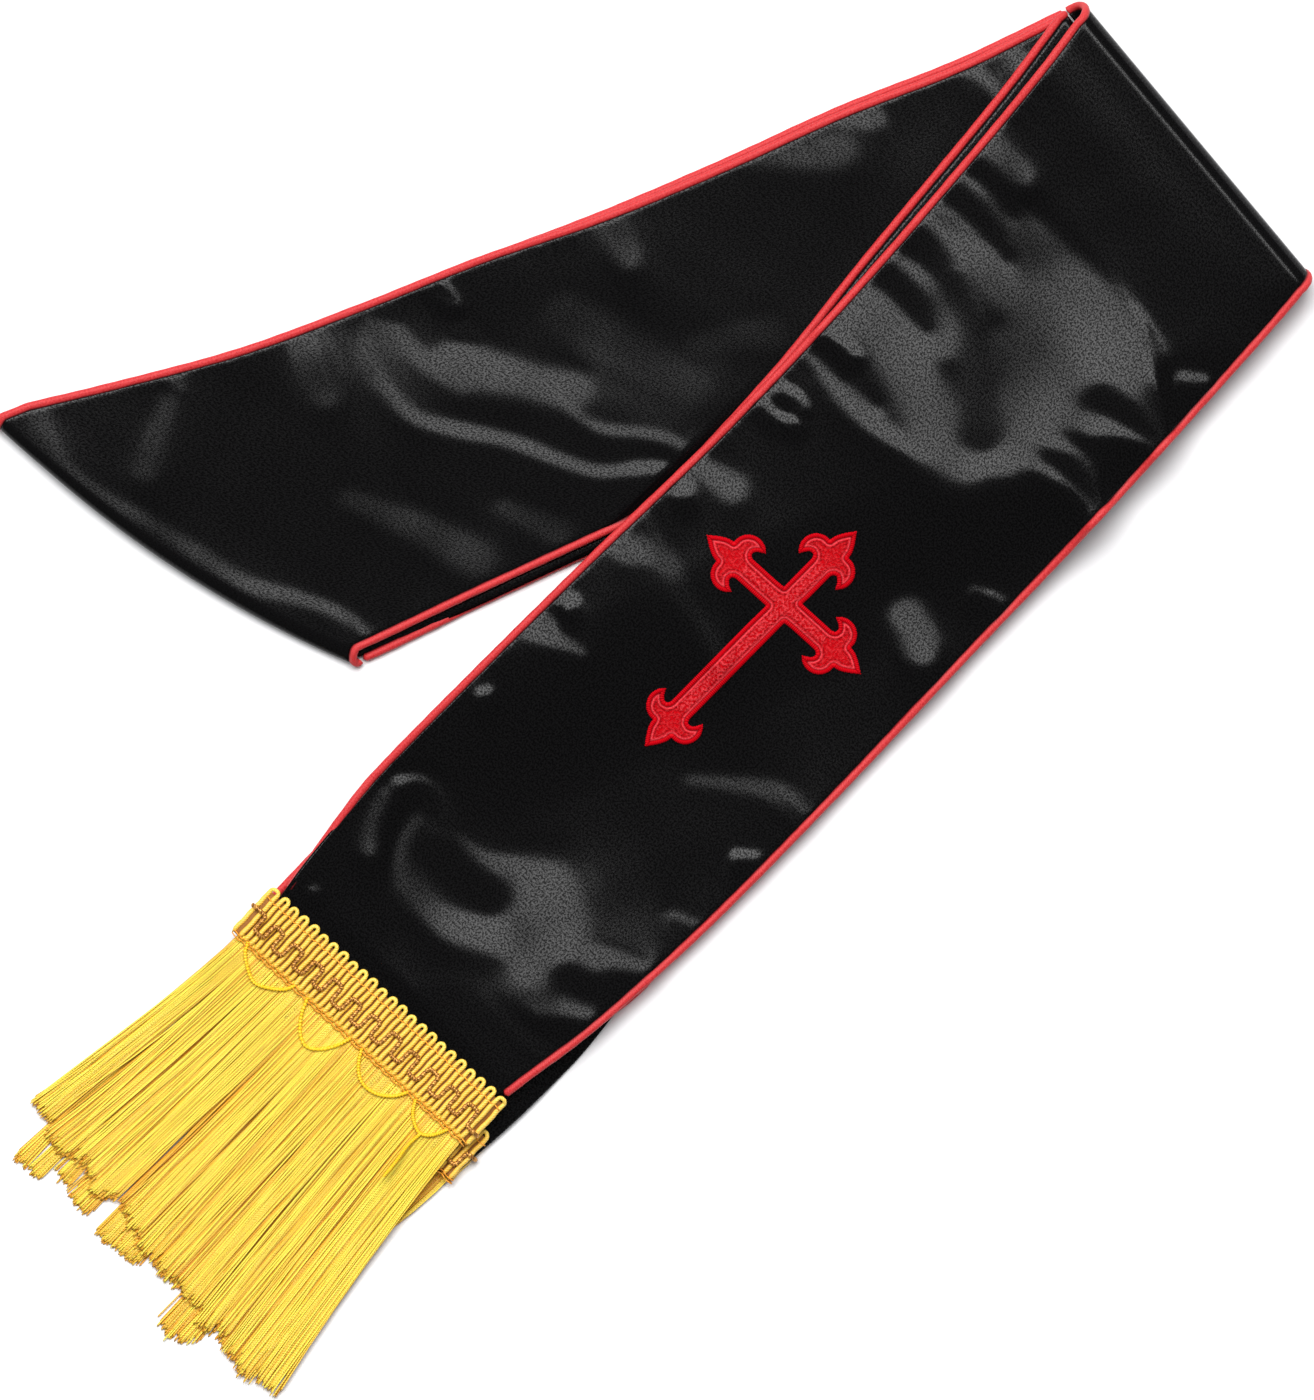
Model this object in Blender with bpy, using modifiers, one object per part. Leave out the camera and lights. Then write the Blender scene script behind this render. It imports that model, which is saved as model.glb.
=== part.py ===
# Clerical stole, folded in half at the neck seam and again across both tails, lying flat.
# The front tail runs up +Y from its fringe to the far fold. The neck band comes back from
# that fold towards -X and -Y, and the second tail lies under the front one. All sizes in
# the tables are millimetres; the meshes are metres, and the surface it lies on is z = 0.
import math
from collections import namedtuple

import bmesh
import bpy
from mathutils import Vector

MM = 0.001

# Driving sizes of the cloth and of the sewn-on trim, and the clearances between them.
CLOTH = 1.8
PIPING = 4.0
BRAID_HEIGHT = 21.0
BRAID_THICKNESS = 1.6
LOOP_PITCH = 5.3
LOOP_RISE = 1.8
STRAND_WIDTH, STRAND_DEPTH = 1.75, 1.5
GAP = 0.3
SEAM = 0.8
TAIL_GAP = 0.7

# How the folded stole lies: the far fold's line, the neck band's axis that leaves it, and how
# far each soft fold reaches past the end of the flat layers that it joins.
FAR_FOLD_Y = 478.0
FAR_FOLD_SLOPE = -0.123
NECK_AXIS_DEG = -114.8
UNDER_FOLD_INSET = 8.4
OUTER_REACH = 6.5
INNER_REACH = 2.5
NECK_REACH = 3.5

# The tails climb by this much onto the neck band, over this length of slope, and a layer
# lifts onto its own piping over the edge's spread.
TAIL_LIFT = 8.8
RAMP = 66.0
EDGE_SPREAD = 17.0

# The neck fold's outermost line, along the neck axis at its two ends, and its bulge.
NECK_FOLD_TOP = 496.0
NECK_FOLD_BOTTOM = 396.0
NECK_FOLD_BULGE = 8.0

# Where the cloth ends under each braid, and where the piping starts above it.
FRONT_END_Y, UNDER_END_Y = -18.0, -31.0
FRONT_PIPING_Y, UNDER_PIPING_Y = 4.2, -8.5

# The place along each layer, from 0 to 1, where its soft fold starts.
FRONT_TURN, UNDER_TURN, NECK_TURN = 0.9, 0.9, 0.88

# The middle of the folded stole's outline, which becomes the origin.
CENTRE = (-100.4, 166.7)

# One row for each section: the distance along the axis and the piping's outer edges.
Section = namedtuple("Section", "along left right")
FRONT_TAIL = [
    Section(-20, -62.0, 58.0),
    Section(0, -64.0, 61.0),
    Section(16, -66.0, 63.6),
    Section(40, -67.6, 68.0),
    Section(65, -68.4, 71.0),
    Section(113, -67.3, 74.6),
    Section(186, -64.6, 76.2),
    Section(260, -61.0, 76.4),
    Section(335, -60.8, 76.9),
    Section(405, -63.4, 75.8),
    Section(455, -66.6, 74.3),
    Section(490, -70.5, 71.5),
]
UNDER_TAIL = [
    Section(-32, -64.0, 67.5),
    Section(0, -64.5, 70.5),
    Section(40, -64.0, 71.9),
    Section(89, -63.0, 72.4),
    Section(200, -61.5, 71.0),
    Section(292, -62.0, 69.5),
    Section(349, -66.3, 68.0),
    Section(435, -71.7, 64.5),
    Section(480, -76.5, 60.5),
]
NECK_TOP_LAYER = [
    Section(-25, -69.0, 64.0),
    Section(30, -68.0, 61.0),
    Section(77, -64.5, 57.0),
    Section(129, -65.0, 55.5),
    Section(182, -62.8, 55.5),
    Section(235, -62.4, 56.5),
    Section(286, -65.2, 59.0),
    Section(339, -65.6, 61.6),
    Section(391, -67.2, 64.6),
    Section(441, -73.2, 66.0),
    Section(480, -79.0, 67.0),
]
NECK_LOWER_LAYER = [
    Section(-25, -70.0, 67.8),
    Section(21, -70.0, 66.5),
    Section(77, -66.8, 63.5),
    Section(129, -67.2, 61.8),
    Section(182, -64.9, 61.8),
    Section(235, -63.9, 62.6),
    Section(293, -65.0, 64.9),
    Section(339, -64.6, 67.2),
    Section(391, -66.2, 69.8),
    Section(441, -72.2, 70.5),
    Section(480, -78.0, 70.5),
]

# Where a change in height starts, and the length that it takes.
Fade = namedtuple("Fade", "start length")
BRAID_FADE = Fade(6.0, 34.0)
WRAP_FADE = Fade(20.0, 30.0)
ABOVE_BRAID = Fade(-2.0, 12.0)
NECK_SHOWN = Fade(6.0, 30.0)
NECK_PUFF = Fade(330.0, 130.0)
PUFF_MIDDLE, PUFF_EDGE = 3.6, 1.9

# The largest soft folds that stand up from a layer, one row for each.
Fold = namedtuple("Fold", "x y heading length breadth rise")
FRONT_FOLDS = [
    Fold(-36, 92, 62, 46, 13, 2.4),
    Fold(14, 68, 20, 60, 15, 2.2),
    Fold(40, 108, -28, 42, 12, 2.0),
    Fold(-44, 208, -30, 34, 10, 1.8),
    Fold(46, 205, 70, 46, 16, 2.2),
    Fold(-18, 330, 62, 60, 14, 2.6),
    Fold(16, 300, 35, 70, 18, 2.4),
    Fold(-42, 300, -50, 30, 9, 2.0),
    Fold(48, 330, 80, 50, 16, 2.0),
]
NECK_FOLDS = [
    Fold(-150, 196, -38, 58, 12, 3.2),
    Fold(-118, 170, -62, 52, 13, 3.0),
    Fold(-170, 232, -66, 40, 12, 2.2),
    Fold(-196, 110, -30, 70, 16, 2.4),
    Fold(-128, 262, 30, 50, 15, 2.4),
    Fold(-92, 400, 40, 30, 10, 2.0),
]

# The embroidered cross: its centre on the front tail, and one arm's half outline from the
# crotch to the tip, given from the tip's end so that a longer arm only has a longer shaft.
CROSS_CENTRE = (5.8, 228.0)
CROSS_TURN_DEG = 0.9
CROSS_SHORT_ARM = 42.5
CROSS_LONG_ARM = 84.0
CROSS_HALF_WIDTH = 5.0
CROSS_THICKNESS = 1.3
HOOK_ROOT = (-19.0, 5.0)
HOOK_TIP = (-23.0, 10.8)
PETAL_NOTCH = (-10.3, 6.2)
HOOK_INSIDE_BULGE, HOOK_OUTSIDE_BULGE, PETAL_BULGE = -3.4, 5.6, 1.5
CROSS_CELL = 12.0
CROSS_CLEARANCE = 0.6

# One row for each fringe: its braid's top edge and slant, and how its strands fall. A strand
# is longer by lengthen for each millimetre that its root lies to the right of the middle.
Trim = namedtuple("Trim", "name top slant rib length lengthen spread lie steps highest_root")
FRONT_TRIM = Trim("front_fringe", 0.5, 0.012, 0.35, 121.0, 0.16, 0.10, 4.2, 4, 20.0)
UNDER_TRIM = Trim("under_fringe", -13.0, -0.01, 0.0, 114.0, 0.0, 0.06, 1.4, 3, 2.4)
BRAID_INSET, BRAID_OVERHANG, BRAID_DROP = 1.2, 1.2, 2.4
WRAP_INSET, WRAP_STEPS, WRAP_COLUMNS = 1.4, 6, 5
ROOT_INSET = 0.18
LOCK, LOCK_PULL, LOCK_SWAY = 7, 0.36, 2.5
UNEVEN_LENGTH = 4.0

SATIN_BLACK = (0.012, 0.012, 0.014)
PIPING_RED = (0.62, 0.035, 0.045)
THREAD_RED = (0.60, 0.005, 0.012)
FRINGE_GOLD = (0.85, 0.42, 0.03)


def clamp(value, low=0.0, high=1.0):
    return max(low, min(high, value))


def smooth(value):
    value = clamp(value)
    return value * value * (3 - 2 * value)


def mix(a, b, share):
    return a + (b - a) * share


# Smooth curve through a table's column, by the slopes of the rows on either side.
def along_table(table, along, column):
    rows = [(row.along, getattr(row, column)) for row in table]
    along = clamp(along, rows[0][0], rows[-1][0])
    last = len(rows) - 2
    i = next((k for k in range(last + 1) if along <= rows[k + 1][0]), last)
    slopes = []
    for k in (i, i + 1):
        before, after = rows[max(k - 1, 0)], rows[min(k + 1, len(rows) - 1)]
        slopes.append((after[1] - before[1]) / (after[0] - before[0]))
    span = rows[i + 1][0] - rows[i][0]
    t = (along - rows[i][0]) / span
    return (
        rows[i][1] * (2 * t**3 - 3 * t**2 + 1)
        + rows[i + 1][1] * (3 * t**2 - 2 * t**3)
        + slopes[0] * span * (t**3 - 2 * t**2 + t)
        + slopes[1] * span * (t**3 - t**2)
    )


NECK_AXIS = Vector((math.cos(math.radians(NECK_AXIS_DEG)), math.sin(math.radians(NECK_AXIS_DEG))))
NECK_SIDE = Vector((-NECK_AXIS.y, NECK_AXIS.x))
NECK_START = Vector((0.0, FAR_FOLD_Y))
FOLD_OUT = Vector((-FAR_FOLD_SLOPE, 1.0)).normalized()


# A point of the plan as distances along and across the neck band.
def to_neck(point):
    offset = point - NECK_START
    return offset.dot(NECK_AXIS), offset.dot(NECK_SIDE)


def from_neck(along, across):
    return NECK_START + NECK_AXIS * along + NECK_SIDE * across


# Rises from 0 inside a layer to 1 at its piped edge.
def edge_rise(inside):
    return 1 - smooth(inside / EDGE_SPREAD)


def inside_by(table, along, across):
    return min(across - along_table(table, along, "left"), along_table(table, along, "right") - across)


def fold_heights(point, folds):
    total = 0.0
    for fold in folds:
        turn = math.radians(fold.heading)
        dx, dy = point.x - fold.x, point.y - fold.y
        lengthwise = dx * math.cos(turn) + dy * math.sin(turn)
        crosswise = -dx * math.sin(turn) + dy * math.cos(turn)
        total += fold.rise * math.exp(-((2 * lengthwise / fold.length) ** 2) - (crosswise / fold.breadth) ** 2)
    return total


# Middle height of the neck's lower layer, which lies on the surface.
def neck_lower_height(point):
    along, across = to_neck(point)
    piped = edge_rise(inside_by(NECK_LOWER_LAYER, along, across) - PIPING / 2)
    return CLOTH / 2 + (PIPING - CLOTH) / 2 * piped


# The neck's top layer rests on the lower one's cloth and piping, and puffs at the neck fold.
def neck_top_height(point):
    along, across = to_neck(point)
    piped_below = edge_rise(inside_by(NECK_LOWER_LAYER, along, across) - PIPING)
    piped = edge_rise(inside_by(NECK_TOP_LAYER, along, across) - PIPING / 2)
    resting = CLOTH + (PIPING - CLOTH) * piped_below + GAP + CLOTH / 2 + (PIPING - CLOTH) / 2 * piped
    shown = smooth((left_of_tails(point) - NECK_SHOWN.start) / NECK_SHOWN.length)
    puff = smooth((along - NECK_PUFF.start) / NECK_PUFF.length) * mix(PUFF_MIDDLE, PUFF_EDGE, piped)
    return resting + puff + fold_heights(point, NECK_FOLDS) * shown * (1 - piped)


# How far a point lies to the left of the tails, where the neck band shows.
def left_of_tails(point):
    return along_table(FRONT_TAIL, point.y, "left") - point.x


# The tails climb from the surface onto the neck band over a soft slope.
def climb(point):
    along, across = to_neck(point)
    inside = along_table(NECK_TOP_LAYER, along, "right") - across
    return TAIL_LIFT * smooth(1 + inside / RAMP)


# Near its end the under tail is raised by its own braid, which faces down.
def braid_lift(point):
    return (BRAID_THICKNESS + 2 * GAP) * smooth(1 - (point.y - BRAID_FADE.start) / BRAID_FADE.length)


def under_tail_height(point):
    piped = edge_rise(inside_by(UNDER_TAIL, point.y, point.x) - PIPING / 2)
    return CLOTH / 2 + climb(point) + max(braid_lift(point), (PIPING - CLOTH) / 2 * piped)


# The front tail rests on the under tail's cloth and piping, and on the under braid's wrapped end.
def front_tail_height(point):
    piped_below = edge_rise(inside_by(UNDER_TAIL, point.y, point.x) - PIPING)
    above_braid = smooth((point.y - ABOVE_BRAID.start) / ABOVE_BRAID.length)
    piped = edge_rise(inside_by(FRONT_TAIL, point.y, point.x) - PIPING / 2) * above_braid
    top_below = CLOTH + climb(point) + braid_lift(point) + (PIPING - CLOTH) * piped_below
    wrapped = braid_lift(point) * smooth((point.x - WRAP_FADE.start) / WRAP_FADE.length)
    folds = fold_heights(point, FRONT_FOLDS) * (1 - piped) * above_braid
    return top_below + wrapped + TAIL_GAP + CLOTH / 2 + (PIPING - CLOTH) / 2 * piped + folds


def far_fold_y(x, inset):
    return FAR_FOLD_Y + FAR_FOLD_SLOPE * x - inset


def neck_fold_along(share, inset):
    bulge = NECK_FOLD_BULGE * 4 * share * (1 - share)
    return mix(NECK_FOLD_TOP, NECK_FOLD_BOTTOM, share) + bulge - inset


# Each layer is a sheet that runs from one end line to the other. Share is 0 at the left
# piping's outer edge and 1 at the right one's; both run along the axis with their table.
def across_at(table, along, share, margin):
    left = along_table(table, along, "left") + margin
    right = along_table(table, along, "right") - margin
    return mix(left, right, share)


def tail_point(table, start, inset, q, share, margin):
    x = across_at(table, start, share, margin)
    for _ in range(3):
        end = far_fold_y(x, inset)
        y = mix(start, end, q)
        x = across_at(table, y, share, margin)
    return Vector((x, y))


def neck_point(table, first_inset, last_inset, q, share, margin):
    along = mix(0.0, neck_fold_along(share, last_inset), q)
    for _ in range(4):
        across = across_at(table, along, share, margin)
        # The far fold's line is slanted to the neck axis, so each column starts at its own place.
        slant = (NECK_SIDE.y - FAR_FOLD_SLOPE * NECK_SIDE.x) / (NECK_AXIS.y - FAR_FOLD_SLOPE * NECK_AXIS.x)
        start = first_inset / -NECK_AXIS.dot(FOLD_OUT) - slant * across
        spread = (across - along_table(table, along, "left")) / (
            along_table(table, along, "right") - along_table(table, along, "left")
        )
        along = mix(start, neck_fold_along(spread, last_inset), q)
    return from_neck(along, across)


# The plan direction that points out of the neck fold, at right angles to its chord.
def neck_fold_out():
    width = along_table(NECK_TOP_LAYER, 441, "right") - along_table(NECK_TOP_LAYER, 441, "left")
    chord = NECK_AXIS * (NECK_FOLD_BOTTOM - NECK_FOLD_TOP) + NECK_SIDE * width
    out = Vector((-chord.y, chord.x)).normalized()
    return out if out.dot(NECK_AXIS) > 0 else -out


# A soft fold is half a turn from the top layer's end down to the lower layer's end.
def bend_point(top, bottom, reach, out, turn):
    share = (1 - math.cos(turn)) / 2
    plan = top.xy.lerp(bottom.xy, share) + out * (reach * math.sin(turn))
    return Vector((plan.x, plan.y, mix(top.z, bottom.z, share)))


def raised(point, height):
    return Vector((point.x, point.y, height(point)))


# The four layers. Each gives its middle surface's point for a place q along it and a share
# across it; margin is how far it stops short of the outer edge on either side. Three of them
# end in a soft fold, which starts at their turn_start.
def front_tail(q, share, margin):
    inset = OUTER_REACH + CLOTH / 2
    flat_share = min(q / FRONT_TURN, 1.0)
    flat = tail_point(FRONT_TAIL, FRONT_END_Y, inset, flat_share, share, margin)
    top = raised(flat, front_tail_height)
    if q <= FRONT_TURN:
        return top
    bottom = raised(neck_point(NECK_LOWER_LAYER, inset, 0, 0.0, share, margin), neck_lower_height)
    return bend_point(top, bottom, OUTER_REACH, FOLD_OUT, math.pi * (q - FRONT_TURN) / (1 - FRONT_TURN))


def under_tail(q, share, margin):
    inset = UNDER_FOLD_INSET + INNER_REACH + CLOTH / 2
    flat_share = min(q / UNDER_TURN, 1.0)
    flat = tail_point(UNDER_TAIL, UNDER_END_Y, inset, flat_share, share, margin)
    top = raised(flat, under_tail_height)
    if q <= UNDER_TURN:
        return top
    bottom = raised(neck_point(NECK_TOP_LAYER, inset, 0, 0.0, share, margin), neck_top_height)
    return bend_point(top, bottom, INNER_REACH, FOLD_OUT, math.pi * (q - UNDER_TURN) / (1 - UNDER_TURN))


def neck_top_layer(q, share, margin):
    first = UNDER_FOLD_INSET + INNER_REACH + CLOTH / 2 + SEAM
    last = NECK_REACH + CLOTH / 2
    flat = neck_point(NECK_TOP_LAYER, first, last, min(q / NECK_TURN, 1.0), share, margin)
    top = raised(flat, neck_top_height)
    if q <= NECK_TURN:
        return top
    bottom = raised(neck_point(NECK_LOWER_LAYER, 0, last, 1.0, share, margin), neck_lower_height)
    return bend_point(top, bottom, NECK_REACH, neck_fold_out(), math.pi * (q - NECK_TURN) / (1 - NECK_TURN))


def neck_lower_layer(q, share, margin):
    first = OUTER_REACH + CLOTH / 2 + SEAM
    last = NECK_REACH + CLOTH / 2 + SEAM
    return raised(neck_point(NECK_LOWER_LAYER, first, last, q, share, margin), neck_lower_height)


# How far along its layer a tail's piping starts.
def piping_start(piping_y, end_y, turn_start):
    return turn_start * (piping_y - end_y) / (FAR_FOLD_Y - end_y)


# One row for each layer: how finely it is divided, and where its pipings start and end on it.
Layer = namedtuple("Layer", "name point rows columns bend_rows turn_start piping_from piping_to")
LAYERS = [
    Layer("front_tail", front_tail, 36, 11, 7, FRONT_TURN,
          piping_start(FRONT_PIPING_Y, FRONT_END_Y, FRONT_TURN), 1.0),
    Layer("under_tail", under_tail, 28, 8, 6, UNDER_TURN,
          piping_start(UNDER_PIPING_Y, UNDER_END_Y, UNDER_TURN), 1.0),
    Layer("neck_top_layer", neck_top_layer, 30, 10, 6, NECK_TURN, 0.0, 0.988),
    Layer("neck_lower_layer", neck_lower_layer, 22, 8, 1, 0.97, 0.0, 0.995),
]


# Rows are even along a flat stretch, with more of them round the bend at its end.
def row_places(layer):
    flat_rows = layer.rows - layer.bend_rows
    flat = [layer.turn_start * i / flat_rows for i in range(flat_rows)]
    return flat + [mix(layer.turn_start, 1.0, i / layer.bend_rows) for i in range(layer.bend_rows + 1)]


# Columns crowd towards the piped edges, where the cloth rises onto its cord.
def column_places(columns, crowding=0.75):
    even = [i / columns for i in range(columns + 1)]
    return [mix(e, 0.5 - 0.5 * math.cos(math.pi * e), crowding) for e in even]


parts = bpy.data.collections.new("clerical_stole")


def material(name, colour, roughness):
    made = bpy.data.materials.new(name)
    made.use_nodes = True
    shader = made.node_tree.nodes["Principled BSDF"]
    shader.inputs["Base Color"].default_value = (*colour, 1.0)
    shader.inputs["Roughness"].default_value = roughness
    shader.inputs["Metallic"].default_value = 0.0
    return made


def place(name, data, finish):
    made = bpy.data.objects.new(name, data)
    made.data.materials.append(finish)
    parts.objects.link(made)
    return made


# Tables are in millimetres about the front fringe's end; the part is in metres about its middle.
def to_part(point):
    return Vector((point.x - CENTRE[0], point.y - CENTRE[1], point.z)) * MM


def cloth_wall(layer, finish):
    """A sheet of the layer's middle surface between its pipings, given the cloth's thickness."""
    places = row_places(layer)
    shares = column_places(layer.columns)
    bm = bmesh.new()
    bmesh.ops.create_grid(bm, x_segments=layer.columns, y_segments=layer.rows, size=0.5)
    for vertex in bm.verts:
        share = shares[round((vertex.co.x + 0.5) * layer.columns)]
        q = places[round((vertex.co.y + 0.5) * layer.rows)]
        vertex.co = to_part(layer.point(q, share, PIPING + GAP))
    mesh = bpy.data.meshes.new(layer.name)
    bmesh.ops.recalc_face_normals(bm, faces=bm.faces)
    bm.to_mesh(mesh)
    bm.free()
    wall = place(layer.name, mesh, finish)
    solidify = wall.modifiers.new("cloth thickness", "SOLIDIFY")
    solidify.thickness = CLOTH * MM
    solidify.offset = 0.0
    mesh.shade_smooth()
    return wall


def piping_cord(layer, side, share, finish):
    """The corded piping along one edge of a layer, round its bend, with a knot at each cloth row."""
    places = [q for q in row_places(layer) if layer.piping_from + 0.01 < q < layer.piping_to]
    places = [layer.piping_from] + places + [layer.piping_to]
    name = layer.name + "_piping_" + side
    curve = bpy.data.curves.new(name, "CURVE")
    curve.dimensions = "3D"
    curve.bevel_depth = PIPING / 2 * MM
    curve.bevel_resolution = 2
    curve.use_fill_caps = True
    line = curve.splines.new("POLY")
    line.points.add(len(places) - 1)
    for knot, q in zip(line.points, places):
        knot.co = (*to_part(layer.point(q, share, PIPING / 2)), 1.0)
    return place(name, curve, finish)


def arc(start, end, bulge, steps):
    """Points on a shallow arc from start towards end, bulging to its left, without the end."""
    span = end - start
    side = Vector((-span.y, span.x)).normalized()
    return [start + span * (i / steps) + side * (bulge * math.sin(math.pi * i / steps)) for i in range(steps)]


def arm_outline(length):
    """One arm's outline from its left crotch round its three-lobed end to its right side."""
    tip = Vector((length, 0.0))
    crotch = Vector((CROSS_HALF_WIDTH, CROSS_HALF_WIDTH))
    root, hook, notch = (tip + Vector(corner) for corner in (HOOK_ROOT, HOOK_TIP, PETAL_NOTCH))
    half = [crotch] + arc(root, hook, HOOK_INSIDE_BULGE, 4) + arc(hook, notch, HOOK_OUTSIDE_BULGE, 7)
    half += arc(notch, tip, PETAL_BULGE, 3)
    mirrored = [Vector((p.x, -p.y)) for p in reversed(half)]
    return half + [tip] + mirrored[:-1]


def cross_outline():
    turned = []
    for quarter, length in enumerate((CROSS_SHORT_ARM, CROSS_SHORT_ARM, CROSS_LONG_ARM, CROSS_SHORT_ARM)):
        heading = math.radians(CROSS_TURN_DEG + 90 - 90 * quarter)
        along = Vector((math.cos(heading), math.sin(heading)))
        side = Vector((-along.y, along.x))
        for p in arm_outline(length):
            turned.append(Vector(CROSS_CENTRE) + along * p.x + side * p.y)
    return turned


def applique(name, finish):
    """The cross patch: its flat outline filled, cut into cells and laid on the front tail."""
    bm = bmesh.new()
    ring = [bm.verts.new((p.x, p.y, 0.0)) for p in cross_outline()]
    edges = [bm.edges.new((ring[i], ring[(i + 1) % len(ring)])) for i in range(len(ring))]
    bmesh.ops.triangle_fill(bm, edges=edges, use_beauty=True, use_dissolve=False)
    reach = CROSS_LONG_ARM + CROSS_CELL
    for axis, normal in ((0, Vector((1, 0, 0))), (1, Vector((0, 1, 0)))):
        for i in range(int(2 * reach / CROSS_CELL)):
            cut = Vector((*CROSS_CENTRE, 0.0))
            cut[axis] += CROSS_CELL * i - reach
            geometry = bm.verts[:] + bm.edges[:] + bm.faces[:]
            bmesh.ops.bisect_plane(bm, geom=geometry, plane_co=cut, plane_no=normal, dist=0.02)
    bmesh.ops.remove_doubles(bm, verts=bm.verts, dist=0.05)
    for vertex in bm.verts:
        plan = vertex.co.xy
        seat = front_tail_height(plan) + CLOTH / 2 + CROSS_CLEARANCE + CROSS_THICKNESS / 2
        vertex.co = to_part(Vector((plan.x, plan.y, seat)))
    bmesh.ops.recalc_face_normals(bm, faces=bm.faces)
    mesh = bpy.data.meshes.new(name)
    bm.to_mesh(mesh)
    bm.free()
    patch = place(name, mesh, finish)
    solidify = patch.modifiers.new("patch thickness", "SOLIDIFY")
    solidify.thickness = CROSS_THICKNESS * MM
    solidify.offset = 0.0
    return patch


def front_braid_path():
    """The front braid's upper face in x and z: over the tail's end and down past both edges."""
    seat = CLOTH / 2 + 2 * GAP + BRAID_THICKNESS
    y = -BRAID_HEIGHT / 2
    left, right = FRONT_TAIL[1].left + BRAID_INSET, FRONT_TAIL[1].right - BRAID_INSET
    count = 2 * round((right - left) / LOOP_PITCH)
    path = []
    for i in range(count + 1):
        x = mix(left, right, i / count)
        path.append((x, front_tail_height(Vector((x, y))) + seat))
    path.insert(0, (left - BRAID_OVERHANG, path[0][1] - BRAID_DROP))
    path.append((right + BRAID_OVERHANG, path[-1][1] - BRAID_DROP))
    return path


def under_braid_path():
    """The under braid's inner face: below the tail, which faces down, then round its right edge."""
    left, right = UNDER_TAIL[0].left + BRAID_INSET, UNDER_TAIL[0].right - WRAP_INSET
    low = BRAID_THICKNESS + GAP / 2
    count = 2 * round((right - left) / LOOP_PITCH)
    path = [(mix(left, right, i / count), low) for i in range(count + 1)]
    top = under_tail_height(Vector((right, UNDER_END_Y))) + CLOTH / 2 + GAP
    reach = (top - low) / 2
    for i in range(1, WRAP_STEPS):
        turn = math.pi * i / WRAP_STEPS
        path.append((right + reach * math.sin(turn), mix(low, top, (1 - math.cos(turn)) / 2)))
    return path + [(right - LOOP_PITCH / 2 * i, top) for i in range(WRAP_COLUMNS)]


def fringe(trim, path, finish):
    """A scroll-gimp braid with its strands: the braid is the backing, and each strand is drawn
    out of its own cell of the braid's lower edge, so that strands stand apart from their roots."""
    columns, rows = len(path) - 1, 2
    bm = bmesh.new()
    bmesh.ops.create_grid(bm, x_segments=columns, y_segments=rows, size=0.5)
    for vertex in bm.verts:
        column = round((vertex.co.x + 0.5) * columns)
        row = round((0.5 - vertex.co.y) * rows)
        x, z = path[column]
        raised_column = column % 2 == 0
        loop = LOOP_RISE if row == 0 and raised_column else 0.0
        y = trim.top + trim.slant * x + loop - (LOOP_RISE + BRAID_HEIGHT) * row / rows
        vertex.co = (x, y, z + (trim.rib if raised_column else 0.0))
    bmesh.ops.recalc_face_normals(bm, faces=bm.faces)
    if sum(face.normal.z * face.calc_area() for face in bm.faces) < 0:
        bmesh.ops.reverse_faces(bm, faces=bm.faces)
    bmesh.ops.solidify(bm, geom=bm.faces[:], thickness=BRAID_THICKNESS)
    bm.normal_update()
    cells = [face for face in bm.faces if face.normal.y < -0.8]
    cells = [face for face in cells if face.calc_center_median().z < trim.highest_root]
    cells.sort(key=lambda face: face.calc_center_median().x)
    bmesh.ops.inset_individual(bm, faces=cells, thickness=ROOT_INSET, use_even_offset=True)
    middle = sum(face.calc_center_median().x for face in cells) / len(cells)
    for number, cell in enumerate(cells):
        draw_strand(bm, cell, strand_route(trim, number, cell.calc_center_median(), middle))
    bmesh.ops.recalc_face_normals(bm, faces=bm.faces)
    for vertex in bm.verts:
        vertex.co = to_part(vertex.co)
    mesh = bpy.data.meshes.new(trim.name)
    bm.to_mesh(mesh)
    bm.free()
    return place(trim.name, mesh, finish)


def strand_route(trim, number, root, middle):
    """A strand's centres: down onto what the fringe lies on, leaning out and clumped in locks."""
    lock, in_lock = divmod(number, LOCK)
    inward = LOCK_PULL * (in_lock - (LOCK - 1) / 2)
    uneven = (math.sin(number * 2.4) + math.sin(lock * 1.9)) / 2
    length = trim.length + trim.lengthen * (root.x - middle) + UNEVEN_LENGTH * uneven
    route = []
    for step in range(1, trim.steps + 1):
        share = step / trim.steps
        drift = ((root.x - middle) * trim.spread - inward) * share
        sway = LOCK_SWAY * math.sin(share * 2.6 + lock * 0.9) * share
        height = mix(root.z, trim.lie, smooth(share * 1.8))
        route.append(Vector((root.x + drift + sway, root.y - length * share, height)))
    return route


def draw_strand(bm, cell, route):
    """Draws a cell out along a route, and keeps its cross-section a level rectangle."""
    for centre in route:
        made = bmesh.ops.extrude_discrete_faces(bm, faces=[cell])
        cell = made["faces"][0]
        middle = cell.calc_center_median()
        for vertex in cell.verts:
            right = 0.5 if vertex.co.x > middle.x else -0.5
            high = 0.5 if vertex.co.z > middle.z else -0.5
            vertex.co = centre + Vector((right * STRAND_WIDTH, 0.0, high * STRAND_DEPTH))


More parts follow.
